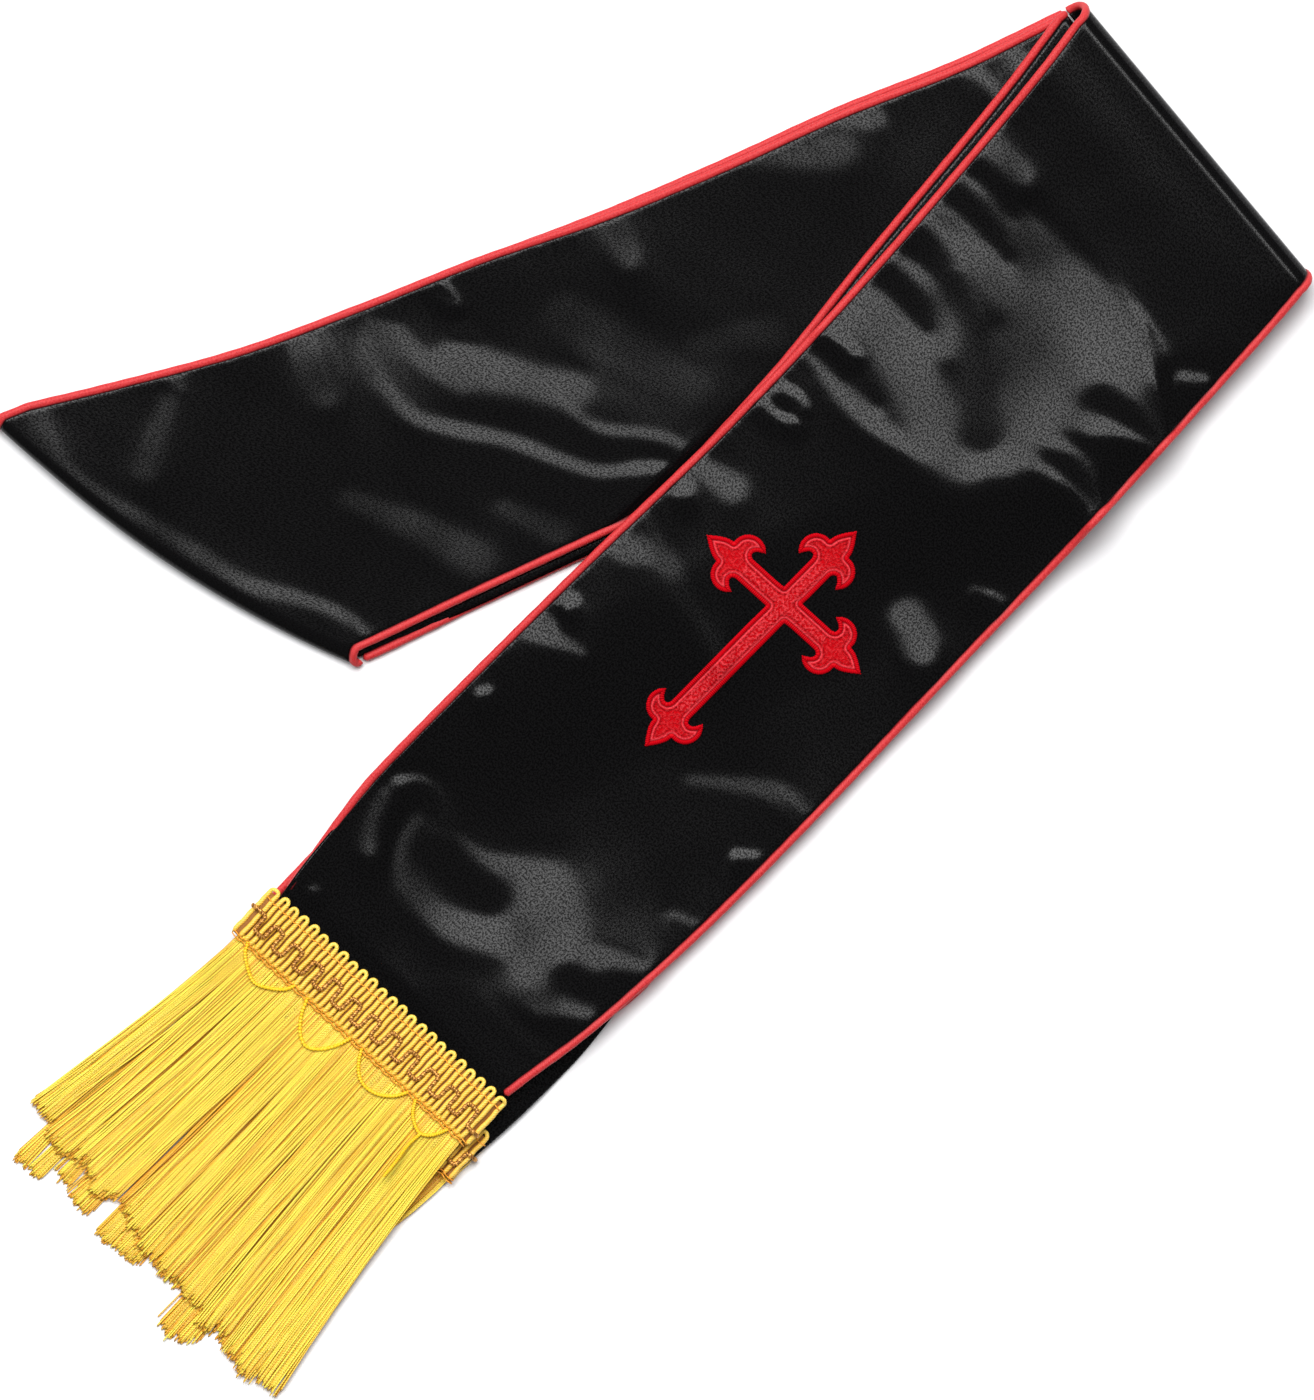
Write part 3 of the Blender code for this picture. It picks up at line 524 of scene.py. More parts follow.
def sheen_table(sheens, rest_height):
    """What to add to the cloth at rest so that its slopes come nearest to the sheens'."""
    spots = np.array([spot for sheen in sheens for spot in sheen.path], float)
    corner = spots.min(axis=0) - SHEEN_BORDER
    counts = np.ceil((spots.max(axis=0) + SHEEN_BORDER - corner) / SHEEN_CELL).astype(int)
    x, y = np.meshgrid(*(corner[k] + SHEEN_CELL * np.arange(counts[k]) for k in (0, 1)))
    lean = np.zeros_like(x)
    covered = np.zeros_like(x)
    for sheen in sheens:
        share = sheen_share(x, y, sheen)
        lean = mix(lean, sheen.lean, share)
        covered = np.maximum(covered, share)
    firm = np.maximum(covered, LOOSE)

    def drawn(slope_x, slope_y):
        """The pull on each cell when the cloth resists these slopes."""
        away = -firm * (LAMP_SIDE.x * slope_x + LAMP_SIDE.y * slope_y)
        aside = ASIDE * firm * (LAMP_SIDE.y * slope_x - LAMP_SIDE.x * slope_y)
        pull_x = (-LAMP_SIDE.x * away + LAMP_SIDE.y * aside)[:, :-1] / SHEEN_CELL
        pull_y = (-LAMP_SIDE.y * away - LAMP_SIDE.x * aside)[:-1] / SHEEN_CELL
        made = np.zeros_like(firm)
        made[:, 1:] += pull_x
        made[:, :-1] -= pull_x
        made[1:] += pull_y
        made[:-1] -= pull_y
        return made

    def stiffness(rise):
        return drawn(*slopes_of(rise)) + hold * rise

    rest_x, rest_y = slopes_of(rest_height(x, y))
    load = drawn(-LAMP_SIDE.x * lean - covered * rest_x, -LAMP_SIDE.y * lean - covered * rest_y)
    hold = np.full_like(lean, SETTLE**-2)
    rise = np.zeros_like(lean)
    for _ in range(SHEEN_ROUNDS):
        rise = relaxed(stiffness, load, rise)
        hold = np.where(rise < SINK_LIMIT, SUNK_SETTLE**-2, SETTLE**-2)
    return corner, rise


def spline_shares(f):
    """How much each of four neighbouring cells counts on a smooth curve between the middle two."""
    middle = 3 * f**3 - 6 * f**2 + 4
    return (1 - f) ** 3 / 6, middle / 6, (-3 * f**3 + 3 * f**2 + 3 * f + 1) / 6, f**3 / 6


def sheen_heights(x, y, table):
    """The sheens' rise at these places, smoothly between the grid's cells."""
    corner, rise = table
    across, up = (x - corner[0]) / SHEEN_CELL, (y - corner[1]) / SHEEN_CELL
    column = np.clip(across.astype(int), 1, rise.shape[1] - 3)
    row = np.clip(up.astype(int), 1, rise.shape[0] - 3)
    total = np.zeros_like(x)
    for j, share_up in enumerate(spline_shares(np.clip(up - row, 0.0, 1.0))):
        for i, share_across in enumerate(spline_shares(np.clip(across - column, 0.0, 1.0))):
            total += share_up * share_across * rise[row + j - 1, column + i - 1]
    return total


def relief(x, y, inside, along, creases, layer):
    """Creases, slow waves and edge puckers, held down where the piping's seam holds the cloth."""
    waves = np.zeros_like(x)
    for wave in SLOW_WAVES:
        turn = math.radians(wave.heading + LAYER_TURN_DEG * layer)
        phase = (x * math.cos(turn) + y * math.sin(turn)) * 2 * math.pi / wave.length
        waves += wave.rise * np.sin(phase + wave.start + LAYER_SHIFT * layer + 0.8 * np.sin(phase * 0.37))
    # The puckers' spacing and height wander along the edge, so no two are alike.
    phase = 2 * math.pi * along / PUCKER_LENGTH
    pucker = np.sin(phase + 2.2 * np.sin(phase * 0.31 + layer) + 1.3 * np.sin(phase * 0.117))
    pucker *= PUCKER_RISE * (0.6 + 0.4 * np.sin(phase * 0.073 + layer))
    held = mix(EDGE_LIFT, 1.0, smooth(inside / EDGE_HOLD))
    near = np.exp(-np.maximum(inside, 0) / PUCKER_REACH)
    return held * (crease_heights(x, y, creases) + waves) + smooth(inside / PUCKER_SEAM) * near * pucker


def neck_lower_height(x, y):
    along, across = to_neck(x, y)
    inside = inside_by(NECK_LOWER_LAYER, along, across)
    shape = relief(x, y, inside - RIM_MARGIN, along, LOWER_CREASES, 4)
    sag = LOWER_SAG * smooth((inside - PIPING) / LOWER_SAG_WIDTH)
    return PIPING / 2 - sag + LOWER_RELIEF * np.clip(shape, LOWER_LOWEST, HIDDEN_HIGHEST)


def neck_top_rest(x, y):
    along, _ = to_neck(x, y)
    return PIPING + GAP + PIPING / 2 + fade_in(along, NECK_PUFF) * PUFF_RISE


NECK_RISE = sheen_table(NECK_SHEENS, neck_top_rest)


def neck_top_height(x, y):
    along, across = to_neck(x, y)
    inside = inside_by(NECK_TOP_LAYER, along, across)
    left = along_table(FRONT_TAIL, y, "left") - x
    shape = relief(x, y, inside - RIM_MARGIN, along, NECK_CREASES, 3)
    shape = (shape + sheen_heights(x, y, NECK_RISE)) * fade_in(left, NECK_SHOWN)
    return neck_top_rest(x, y) + np.maximum(shape, NECK_LOWEST)


def under_tail_height(x, y):
    inside = inside_by(UNDER_TAIL, y, x)
    piped = edge_rise(inside - PIPING / 2)
    shape = relief(x, y, inside - RIM_MARGIN, y, UNDER_CREASES, 2)
    lift = np.maximum(braid_lift(y), (PIPING - CLOTH) / 2 * np.maximum(piped, fade_in(y, UNDER_PIPED)))
    relief_shown = UNDER_RELIEF * np.clip(shape, UNDER_LOWEST, HIDDEN_HIGHEST)
    return CLOTH / 2 + climb(x, y) + lift + relief_shown


def front_tail_rest(x, y):
    """The front tail's height without creases, from the neck band's edge down to the table."""
    piped_below = 1 - smooth((inside_by(UNDER_TAIL, y, x) - PIPING) / FRONT_SPREAD)
    resting = mix(piped_below, 1.0, fade_in(y, FRONT_PIPED))
    wrapped = braid_lift(y) * fade_in(x, WRAP_FADE)
    neck_along, neck_across = to_neck(x, y)
    past_edge = neck_across - along_table(NECK_TOP_LAYER, neck_along, "right")
    bridging = TAIL_LIFT * (1 - smooth((past_edge - FRONT_CREST) / FRONT_RAMP))
    from_right = along_table(FRONT_TAIL, y, "right") - x
    lifted = climb(x, y)
    lifted = lifted + np.maximum(bridging - lifted, 0.0) * smooth(from_right / FRONT_SETTLE)
    top_below = CLOTH + lifted + braid_lift(y) + (PIPING - CLOTH) * resting + wrapped
    return top_below + TAIL_GAP + CLOTH / 2 + (PIPING - CLOTH) / 2 * fade_in(y, ABOVE_BRAID)


FRONT_RISE = sheen_table(FRONT_SHEENS, front_tail_rest)


def front_tail_height(x, y):
    inside = inside_by(FRONT_TAIL, y, x)
    shape = relief(x, y, inside - RIM_MARGIN, y, FRONT_CREASES, 1)
    shape += sheen_heights(x, y, FRONT_RISE)
    far = fade_in(FAR_FOLD_Y + FAR_FOLD_SLOPE * x - y, FAR_CLEAR)
    return front_tail_rest(x, y) + np.maximum(shape * fade_in(y, ABOVE_BRAID) * far, FRONT_LOWEST)


def across_at(table, along, share, margin):
    left = along_table(table, along, "left") + margin
    right = along_table(table, along, "right") - margin
    return mix(left, right, share)


def tail_point(table, start, inset, q, share, margin):
    """Where on the table a tail's place is, q of the way from its end to the far fold."""
    x = across_at(table, np.full_like(q, start), share, margin)
    y = q
    for _ in range(3):
        y = mix(start, FAR_FOLD_Y + FAR_FOLD_SLOPE * x - inset, q)
        x = across_at(table, y, share, margin)
    return x, y


def neck_fold_along(share, inset):
    bulge = NECK_FOLD_BULGE * 4 * share * (1 - share)
    return mix(NECK_FOLD_TOP, NECK_FOLD_BOTTOM, share) + bulge - inset


def neck_point(table, first_inset, last_inset, q, share, margin):
    """Where a neck layer's place is, q of the way from the far fold to the neck fold."""
    slant = NECK_SIDE[1] - FAR_FOLD_SLOPE * NECK_SIDE[0]
    slant /= NECK_AXIS[1] - FAR_FOLD_SLOPE * NECK_AXIS[0]
    along = mix(0.0, neck_fold_along(share, last_inset), q)
    across = along
    for _ in range(4):
        across = across_at(table, along, share, margin)
        start = first_inset / -NECK_AXIS.dot(FOLD_OUT) - slant * across
        left = along_table(table, along, "left")
        right = along_table(table, along, "right")
        along = mix(start, neck_fold_along((across - left) / (right - left), last_inset), q)
    return from_neck(along, across)


def neck_fold_out():
    """The direction straight out of the neck fold, across its chord."""
    near_fold = NECK_TOP_LAYER[-2]
    chord = NECK_AXIS * (NECK_FOLD_BOTTOM - NECK_FOLD_TOP) + NECK_SIDE * (near_fold.right - near_fold.left)
    out = np.array((-chord[1], chord[0])) / np.hypot(*chord)
    return out if out.dot(NECK_AXIS) > 0 else -out


def bent(top, bottom, reach, out, q, turn_start):
    """Past turn_start, half a turn from the top layer's end down to the lower layer's end."""
    turn = math.pi * np.clip((q - turn_start) / (1 - turn_start), 0.0, 1.0)
    share = (1 - np.cos(turn)) / 2
    plan = [mix(top[k], bottom[k], share) + out[k] * reach * np.sin(turn) for k in (0, 1)]
    return np.stack([*plan, mix(top[2], bottom[2], share)], axis=-1)


def raised(x, y, height):
    return x, y, height(x, y)


def front_tail(q, share, margin):
    inset = OUTER_REACH + CLOTH / 2
    flat = np.minimum(q / FRONT_TURN, 1)
    top = raised(*tail_point(FRONT_TAIL, FRONT_END_Y, inset, flat, share, margin), front_tail_height)
    below = neck_point(NECK_LOWER_LAYER, inset, 0, np.zeros_like(q), share, margin)
    bottom = raised(*below, neck_lower_height)
    return bent(top, bottom, OUTER_REACH, FOLD_OUT, q, FRONT_TURN)


def under_tail(q, share, margin):
    inset = UNDER_FOLD_INSET + INNER_REACH + CLOTH / 2
    flat = np.minimum(q / UNDER_TURN, 1)
    top = raised(*tail_point(UNDER_TAIL, UNDER_END_Y, inset, flat, share, margin), under_tail_height)
    bottom = raised(*neck_point(NECK_TOP_LAYER, inset, 0, np.zeros_like(q), share, margin), neck_top_height)
    return bent(top, bottom, INNER_REACH, FOLD_OUT, q, UNDER_TURN)


def neck_top_layer(q, share, margin):
    first = UNDER_FOLD_INSET + INNER_REACH + CLOTH / 2 + SEAM
    last = NECK_REACH + CLOTH / 2
    flat = np.minimum(q / NECK_TURN, 1)
    top = raised(*neck_point(NECK_TOP_LAYER, first, last, flat, share, margin), neck_top_height)
    bottom = raised(*neck_point(NECK_LOWER_LAYER, 0, last, np.ones_like(q), share, margin), neck_lower_height)
    return bent(top, bottom, NECK_REACH, neck_fold_out(), q, NECK_TURN)


def neck_lower_layer(q, share, margin):
    first = OUTER_REACH + CLOTH / 2 + SEAM
    last = NECK_REACH + CLOTH / 2 + SEAM
    place = neck_point(NECK_LOWER_LAYER, first, last, q, share, margin)
    return np.stack(raised(*place, neck_lower_height), axis=-1)


def grid_mesh(name, columns, rows):
    """A flat grid with a UV map, and each vertex's column and row."""
    grid = bmesh.new()
    grid.loops.layers.uv.new("UVMap")
    bmesh.ops.create_grid(grid, x_segments=columns, y_segments=rows, size=0.5, calc_uvs=True)
    mesh = bpy.data.meshes.new(name)
    grid.to_mesh(mesh)
    grid.free()
    flat = np.empty(len(mesh.vertices) * 3, np.float32)
    mesh.vertices.foreach_get("co", flat)
    place = flat.reshape(-1, 3).astype(float)
    column = np.rint((place[:, 0] + 0.5) * columns).astype(int)
    row = np.rint((place[:, 1] + 0.5) * rows).astype(int)
    return mesh, column, row


def set_points(mesh, points):
    """Puts the vertices at these points, given in the tables' millimetres."""
    mesh.vertices.foreach_set("co", ((points - CENTRE) * MM).astype(np.float32).ravel())
    mesh.update()


def set_uv(mesh, u, v):
    corner = np.empty(len(mesh.loops), np.int32)
    mesh.loops.foreach_get("vertex_index", corner)
    pairs = np.stack([u[corner], v[corner]], axis=1).astype(np.float32)
    mesh.uv_layers[0].data.foreach_set("uv", pairs.ravel())


def set_attribute(mesh, name, values):
    layer = mesh.attributes.new(name, "FLOAT", "POINT")
    layer.data.foreach_set("value", np.asarray(values, np.float32))


def thicken(piece, thickness):
    """Gives a sheet its thickness in millimetres, half on each side."""
    shell = piece.modifiers.new("thickness", "SOLIDIFY")
    shell.thickness = thickness * MM
    shell.offset = 0.0
    return shell


def add_piece(name, mesh, finish):
    """A finished piece: shaded smooth and riding on the one body."""
    mesh.materials.append(finish)
    mesh.shade_smooth()
    piece = bpy.data.objects.new(name, mesh)
    bpy.context.scene.collection.objects.link(piece)
    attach(piece, "root")
    return piece


def new_group(name, inputs, output):
    """A shared effect: named inputs with their kinds and values, and one output."""
    group = bpy.data.node_groups.new(name, "ShaderNodeTree")
    for label, kind, value in inputs:
        socket = group.interface.new_socket(label, in_out="INPUT", socket_type="NodeSocket" + kind)
        if value is not None:
            socket.default_value = value
    group.interface.new_socket(output, in_out="OUTPUT", socket_type="NodeSocketFloat")
    return group, group.nodes.new("NodeGroupInput"), group.nodes.new("NodeGroupOutput")


def calculate(tree, operation, *values, **settings):
    """One step of arithmetic on values or on other nodes' outputs."""
    inputs = dict(enumerate(values))
    return add_node(tree, "ShaderNodeMath", inputs, operation=operation, **settings).outputs[0]


def scale_add(tree, value, scale, plus):
    return calculate(tree, "MULTIPLY_ADD", value, scale, plus)


# Fibre grain: an uneven fine speckle, from 0 to 1, of a given size in metres.
fibre_grain, given, result = new_group(
    "fibre grain",
    [("Vector", "Vector", None), ("Size", "Float", 0.0006), ("Contrast", "Float", 0.5)],
    "Grain")
finer = calculate(fibre_grain, "DIVIDE", 1.0, given.outputs["Size"])
speckle = add_node(fibre_grain, "ShaderNodeTexNoise",
                   {"Vector": given.outputs["Vector"], "Scale": finer, "Detail": 3.0, "Roughness": 0.6})
centred = calculate(fibre_grain, "SUBTRACT", speckle.outputs["Fac"], 0.5)
spread = calculate(fibre_grain, "MULTIPLY", given.outputs["Contrast"], 4.0)
wider = calculate(fibre_grain, "MULTIPLY_ADD", centred, spread, 0.5, use_clamp=True)
fibre_grain.links.new(wider, result.inputs["Grain"])

# Yarn ridges: parallel ridges at a slant to a UV map in metres, from 0 to 1.
yarn_ridges, given, result = new_group(
    "yarn ridges",
    [("Vector", "Vector", None), ("Along", "Float", 0.0),
     ("Across", "Float", 2000.0), ("Uneven", "Float", 0.5)],
    "Ridge")
parts_of = add_node(yarn_ridges, "ShaderNodeSeparateXYZ", {"Vector": given.outputs["Vector"]})
wander = add_node(yarn_ridges, "ShaderNodeTexNoise", {"Vector": given.outputs["Vector"], "Scale": 160.0})
turns = calculate(yarn_ridges, "MULTIPLY", parts_of.outputs["X"], given.outputs["Across"])
turns = scale_add(yarn_ridges, parts_of.outputs["Y"], given.outputs["Along"], turns)
turns = scale_add(yarn_ridges, wander.outputs["Fac"], given.outputs["Uneven"], turns)
ridge = calculate(yarn_ridges, "SINE", calculate(yarn_ridges, "MULTIPLY", turns, 2 * math.pi))
yarn_ridges.links.new(scale_add(yarn_ridges, ridge, 0.5, 0.5), result.inputs["Ridge"])


def add_group(tree, group, inputs):
    return add_node(tree, "ShaderNodeGroup", inputs, node_tree=group).outputs[0]


def grain_on(tree, uv, size, contrast):
    return add_group(tree, fibre_grain, {"Vector": uv, "Size": size, "Contrast": contrast})


def ridges_on(tree, uv, across, along, uneven):
    return add_group(tree, yarn_ridges, {"Vector": uv, "Across": across, "Along": along, "Uneven": uneven})


def uv_of(tree):
    return add_node(tree, "ShaderNodeUVMap").outputs["UV"]


def attribute_of(tree, name):
    return add_node(tree, "ShaderNodeAttribute", attribute_name=name).outputs["Fac"]


def mix_colour(tree, share, first, second):
    """Mixes two colours by a share, each given as a colour or as a node's output."""
    ends = [value if isinstance(value, bpy.types.NodeSocket) else (*value, 1.0) for value in (first, second)]
    return add_node(tree, "ShaderNodeMix", {0: share, 6: ends[0], 7: ends[1]}, data_type="RGBA").outputs[2]


def finish_surface(tree, shader, colour, roughness, height, strength, distance):
    """Feeds a shader its colour and roughness, and raises its surface by a height in metres."""
    tree.links.new(colour, shader.inputs["Base Color"])
    tree.links.new(roughness, shader.inputs["Roughness"])
    bump = add_node(tree, "ShaderNodeBump", {"Height": height, "Strength": strength, "Distance": distance})
    tree.links.new(bump.outputs["Normal"], shader.inputs["Normal"])


SATIN_DARK, SATIN_LIGHT = (0.0014, 0.0013, 0.0014), (0.0032, 0.0030, 0.0033)
SATIN_ROUGHNESS = (0.155, 0.04)
# Its long floating threads catch the lamp one by one.
SATIN_FLOATS = 0.36

satin, tree, shader = new_material("black satin", 0.17, 0.04, coat_roughness=0.17)
uv = uv_of(tree)
grain = grain_on(tree, uv, 0.0008, 0.6)
floats = grain_on(tree, uv, 0.0008, 2.4)
tree.links.new(scale_add(tree, floats, SATIN_FLOATS, 0.0), shader.inputs["Coat Weight"])
finish_surface(tree, shader, mix_colour(tree, grain, SATIN_DARK, SATIN_LIGHT),
               scale_add(tree, grain, SATIN_ROUGHNESS[1], SATIN_ROUGHNESS[0]),
               scale_add(tree, grain_on(tree, uv, 0.012, 0.4), 0.5, grain), 0.05, 0.00022)

Layer = namedtuple("Layer", "node point rows columns long turn_start piping_from piping_to rests_on")


def piping_start(piping_y, end_y, turn_start):
    """How far along a tail its piping begins, beside the braid."""
    return turn_start * (piping_y - end_y) / (FAR_FOLD_Y - end_y)


LAYERS = [
    Layer("front_tail", front_tail, 300, 84, 0.51, FRONT_TURN,
          piping_start(FRONT_PIPING_Y, FRONT_END_Y, FRONT_TURN), 1.0,
          ["under_tail_satin", "neck_top_layer_satin"]),
    Layer("under_tail", under_tail, 200, 44, 0.50, UNDER_TURN,
          piping_start(UNDER_PIPING_Y, UNDER_END_Y, UNDER_TURN), 1.0, ["neck_top_layer_satin"]),
    Layer("neck_top_layer", neck_top_layer, 264, 80, 0.45, NECK_TURN, 0.0, 0.996, ["neck_lower_layer_satin"]),
    Layer("neck_lower_layer", neck_lower_layer, 180, 44, 0.44, 0.97, 0.0, 1.0, ["table_top"]),
]
STRIP_WIDTH = 0.140
# Near its end the under tail's right edge has rolled over its piping, and so has the lower
# neck layer's right edge away from the neck fold.
UNDER_ROLL = Fade(-75.0, 45.0)
ROLL_OVER, ROLL_OVER_FADE = 3.0, Fade(0.8, 0.2)
ROLL_SINK, ROLL_SINK_FADE = 1.0, Fade(0.95, 0.05)
TUCK_FADE, TUCK_OUT, TUCK_RISE, TUCK_RISE_FADE = Fade(0.86, 0.13), 1.5, 1.0, Fade(0.9, 0.08)
# How much closer together the mesh's columns are towards both edges.
EDGE_CROWDING = 0.35

for layer in LAYERS:
    mesh, column, row = grid_mesh(layer.node + "_satin", layer.columns, layer.rows)
    share = column / layer.columns
    share = mix(share, 0.5 - 0.5 * np.cos(math.pi * share), EDGE_CROWDING)
    q = row / layer.rows
    tucked = (1 - fade_in(q, TUCK_FADE)) * (layer.node == "neck_lower_layer")
    points = layer.point(q, share, RIM_MARGIN - TUCK_OUT * tucked * smooth(share))
    points[:, 2] += TUCK_RISE * tucked * fade_in(share, TUCK_RISE_FADE)
    if layer.node == "under_tail":
        rolled = fade_in(-points[:, 1], UNDER_ROLL)
        points[:, 0] += ROLL_OVER * rolled * fade_in(share, ROLL_OVER_FADE)
        points[:, 2] -= ROLL_SINK * rolled * fade_in(share, ROLL_SINK_FADE)
    set_points(mesh, points)
    set_uv(mesh, share * STRIP_WIDTH, q * layer.long)
    piece = add_piece(layer.node + "_satin", mesh, satin)
    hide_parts(layer.node)
    body = piece.vertex_groups.new(name="full thickness")
    rim = RIM_SHARE + (1 - RIM_SHARE) * smooth(np.minimum(share, 1 - share) * STRIP_WIDTH / MM / RIM_TAPER)
    for level in np.unique(np.round(rim, 2)):
        body.add(np.nonzero(np.round(rim, 2) == level)[0].tolist(), float(level), "REPLACE")
    thicken(piece, SHELL).vertex_group = body.name

# The piping
# A soft filler cord wrapped in a bias strip of coral red satin and sewn into both edges of
# the strip. The strip's two raw edges make a flat fin beside the cord. The cord's side towards
# the cloth is painted dark red: painted shade where it meets the cloth.
CORD_RADIUS = 1.58
CORD_SIDES = 14
TABLE_GAP = 0.05
CORD_SPACING, CORD_WOBBLE = 1.3, 0.14
FIN_LENGTH, FIN_SHARPNESS = 0.42, 8
# The darkest red is painted shade where the cord meets the cloth.
CORD_RED, CORD_PALE, CORD_SEAM_SHADE = (0.42, 0.010, 0.014), (0.64, 0.050, 0.052), (0.08, 0.001, 0.003)
SEAM_SHADE_FADE, SEAM_REACH = Fade(0.72, 0.2), 3.0
# Where a layer's edge is rolled under, its cord lies further across and lower.
Roll = namedtuple("Roll", "node edge fade across drop")
ROLLS = [
    Roll("front_tail", 0.0, Fade(-62.0, 50.0), 2.5, 1.7),
    Roll("under_tail", 1.0, UNDER_ROLL, -6.0, 1.5),
]
TUCKED_ACROSS, TUCKED_DROP = 0.7, 0.35

piping, tree, shader = new_material("red satin piping", 0.42, 0.22)
uv = uv_of(tree)
grain = grain_on(tree, uv, 0.0007, 0.7)
weave = ridges_on(tree, uv, 1200.0, 1100.0, 1.2)
body_colour = mix_colour(tree, grain, CORD_RED, CORD_PALE)
finish_surface(tree, shader, mix_colour(tree, attribute_of(tree, "seam"), body_colour, CORD_SEAM_SHADE),
               scale_add(tree, grain, 0.2, 0.34), scale_add(tree, weave, 0.7, grain), 0.35, 0.0002)


def unit(vectors):
    return vectors / np.maximum(np.linalg.norm(vectors, axis=-1, keepdims=True), 1e-9)


def close_tube(mesh, joins=None):
    """Merges a rolled-up grid's meeting edges, and drops the faces that join separate strands."""
    made = bmesh.new()
    made.from_mesh(mesh)
    if joins is not None:
        made.verts.ensure_lookup_table()
        between = [face for face in made.faces if len({joins[v.index] for v in face.verts}) > 1]
        bmesh.ops.delete(made, geom=between, context="FACES")
    bmesh.ops.remove_doubles(made, verts=made.verts, dist=1e-6)
    bmesh.ops.recalc_face_normals(made, faces=made.faces)
    made.to_mesh(mesh)
    made.free()


def cord_line(layer, share, places):
    """The cord's middle line, and the direction from it towards the cloth."""
    edge = np.full_like(places, share)
    centre = layer.point(places, edge, CORD_RADIUS)
    inner = layer.point(places, edge, CORD_RADIUS + SEAM_REACH)
    for roll in ROLLS:
        if (layer.node, share) == (roll.node, roll.edge):
            rolled_under = fade_in(-centre[:, 1], roll.fade)
            centre[:, 0] += roll.across * rolled_under
            centre[:, 2] -= roll.drop * rolled_under
    if layer.node == "neck_lower_layer" and share == 1.0:
        tucked = 1 - fade_in(places, TUCK_FADE)
        centre[:, :2] -= (tucked * TUCKED_ACROSS)[:, None] * NECK_SIDE
        centre[:, 2] -= TUCKED_DROP * tucked
    return centre, inner - centre


cord_pieces = {layer.node: [] for layer in LAYERS}
for layer in LAYERS:
    for side, share in (("left", 0.0), ("right", 1.0)):
        count = int(layer.long * 1000 / CORD_SPACING)
        places = np.linspace(layer.piping_from, layer.piping_to, count + 1)
        centre, inward = cord_line(layer, share, places)
        centre[:, 2] += np.sin(places * 61 + 2 * share) * np.sin(places * 23) * CORD_WOBBLE
        tangent = unit(np.gradient(centre, axis=0))
        inward = unit(inward - tangent * np.sum(inward * tangent, axis=1, keepdims=True))
        above = unit(np.cross(tangent, inward))
        mesh, column, row = grid_mesh(layer.node + "_cord_" + side, CORD_SIDES, count)
        turn = 2 * math.pi * column / CORD_SIDES
        fin = FIN_LENGTH * np.maximum(np.cos(turn), 0.0) ** FIN_SHARPNESS
        uneven = 1 + 0.025 * np.sin(row * 0.9 + 3 * turn) + 0.02 * np.sin(row * 0.37)
        radius = CORD_RADIUS * (1 + fin) * uneven
        radius = np.where((row == 0) | (row == count), 0.0, radius)
        ring = inward[row] * np.cos(turn)[:, None] + above[row] * np.sin(turn)[:, None]
        points = centre[row] + radius[:, None] * ring
        points[:, 2] = np.maximum(points[:, 2], TABLE_GAP)
        set_points(mesh, points)
        set_uv(mesh, turn * CORD_RADIUS * MM, places[row] * layer.long)
        # The side towards the cloth takes the painted shade where the cord meets the cloth.
        set_attribute(mesh, "seam", fade_in(np.cos(turn), SEAM_SHADE_FADE))
        close_tube(mesh)
        piece = add_piece(layer.node + "_cord_" + side, mesh, piping)
        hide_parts(layer.node + "_piping_" + side)
        cord_pieces[layer.node].append(piece)

# The embroidered cross
# A cross fleury with one long arm, machine embroidered on a patch and sewn to the front
# tail: a raised satin-stitch border, a flatter filled field with a padded rib down each
# bar, and fine outline stitches between them.
CROSS_CENTRE = np.array((6.9, 225.9))
CROSS_HALF_WIDTH = 5.2
Arm = namedtuple("Arm", "heading length")
ARMS = [Arm(88.6, 42.0), Arm(1.1, 42.0), Arm(-91.4, 80.6), Arm(181.1, 42.4)]
# An arm's end in three runs, back from its tip and out from its middle line.
HOOK_INSIDE = ((-20.8, 5.2), (-19.4, 5.8), (-19.0, 7.2), (-20.4, 8.8), (-23.3, 10.4))
HOOK_OUTSIDE = (
    (-23.3, 10.4), (-20.8, 12.4), (-17.8, 13.2), (-14.6, 12.7), (-11.9, 10.8), (-10.4, 8.0), (-10.2, 5.3))
PETAL = ((-10.2, 5.3), (-7.6, 4.8), (-4.2, 3.0), (0.0, 0.0))
CROSS_CELL = 0.4
SHAFT_END = 21.5
BORDER_WIDTH, BORDER_RISE, FIELD_RISE, PATCH_RISE = 1.9, 1.15, 0.62, 0.25
BORDER_STEP, BORDER_FLAT, PATCH_SKIRT = 0.5, 0.08, 0.6
OUTLINE_STITCH, OUTLINE_WIDTH, OUTLINE_RISE = 2.65, 0.30, 0.16
RIB_HALF, RIB_RISE, RIB_EDGE, LEVEL_RIB_THINNER = 1.9, 0.30, 0.6, 0.7
# The padded ribs' reach along the short arms and down the long one, and the bars' lean.
RIB_REACH, LONG_RIB_REACH = 22, 60
UPRIGHT_LEAN_DEG, LEVEL_LEAN_DEG = 1.4, 1.1
STITCH_SPACING = 0.8
THREAD_DARK, THREAD_MID, THREAD_PALE = (0.16, 0.0, 0.002), (0.56, 0.0, 0.004), (0.94, 0.075, 0.09)
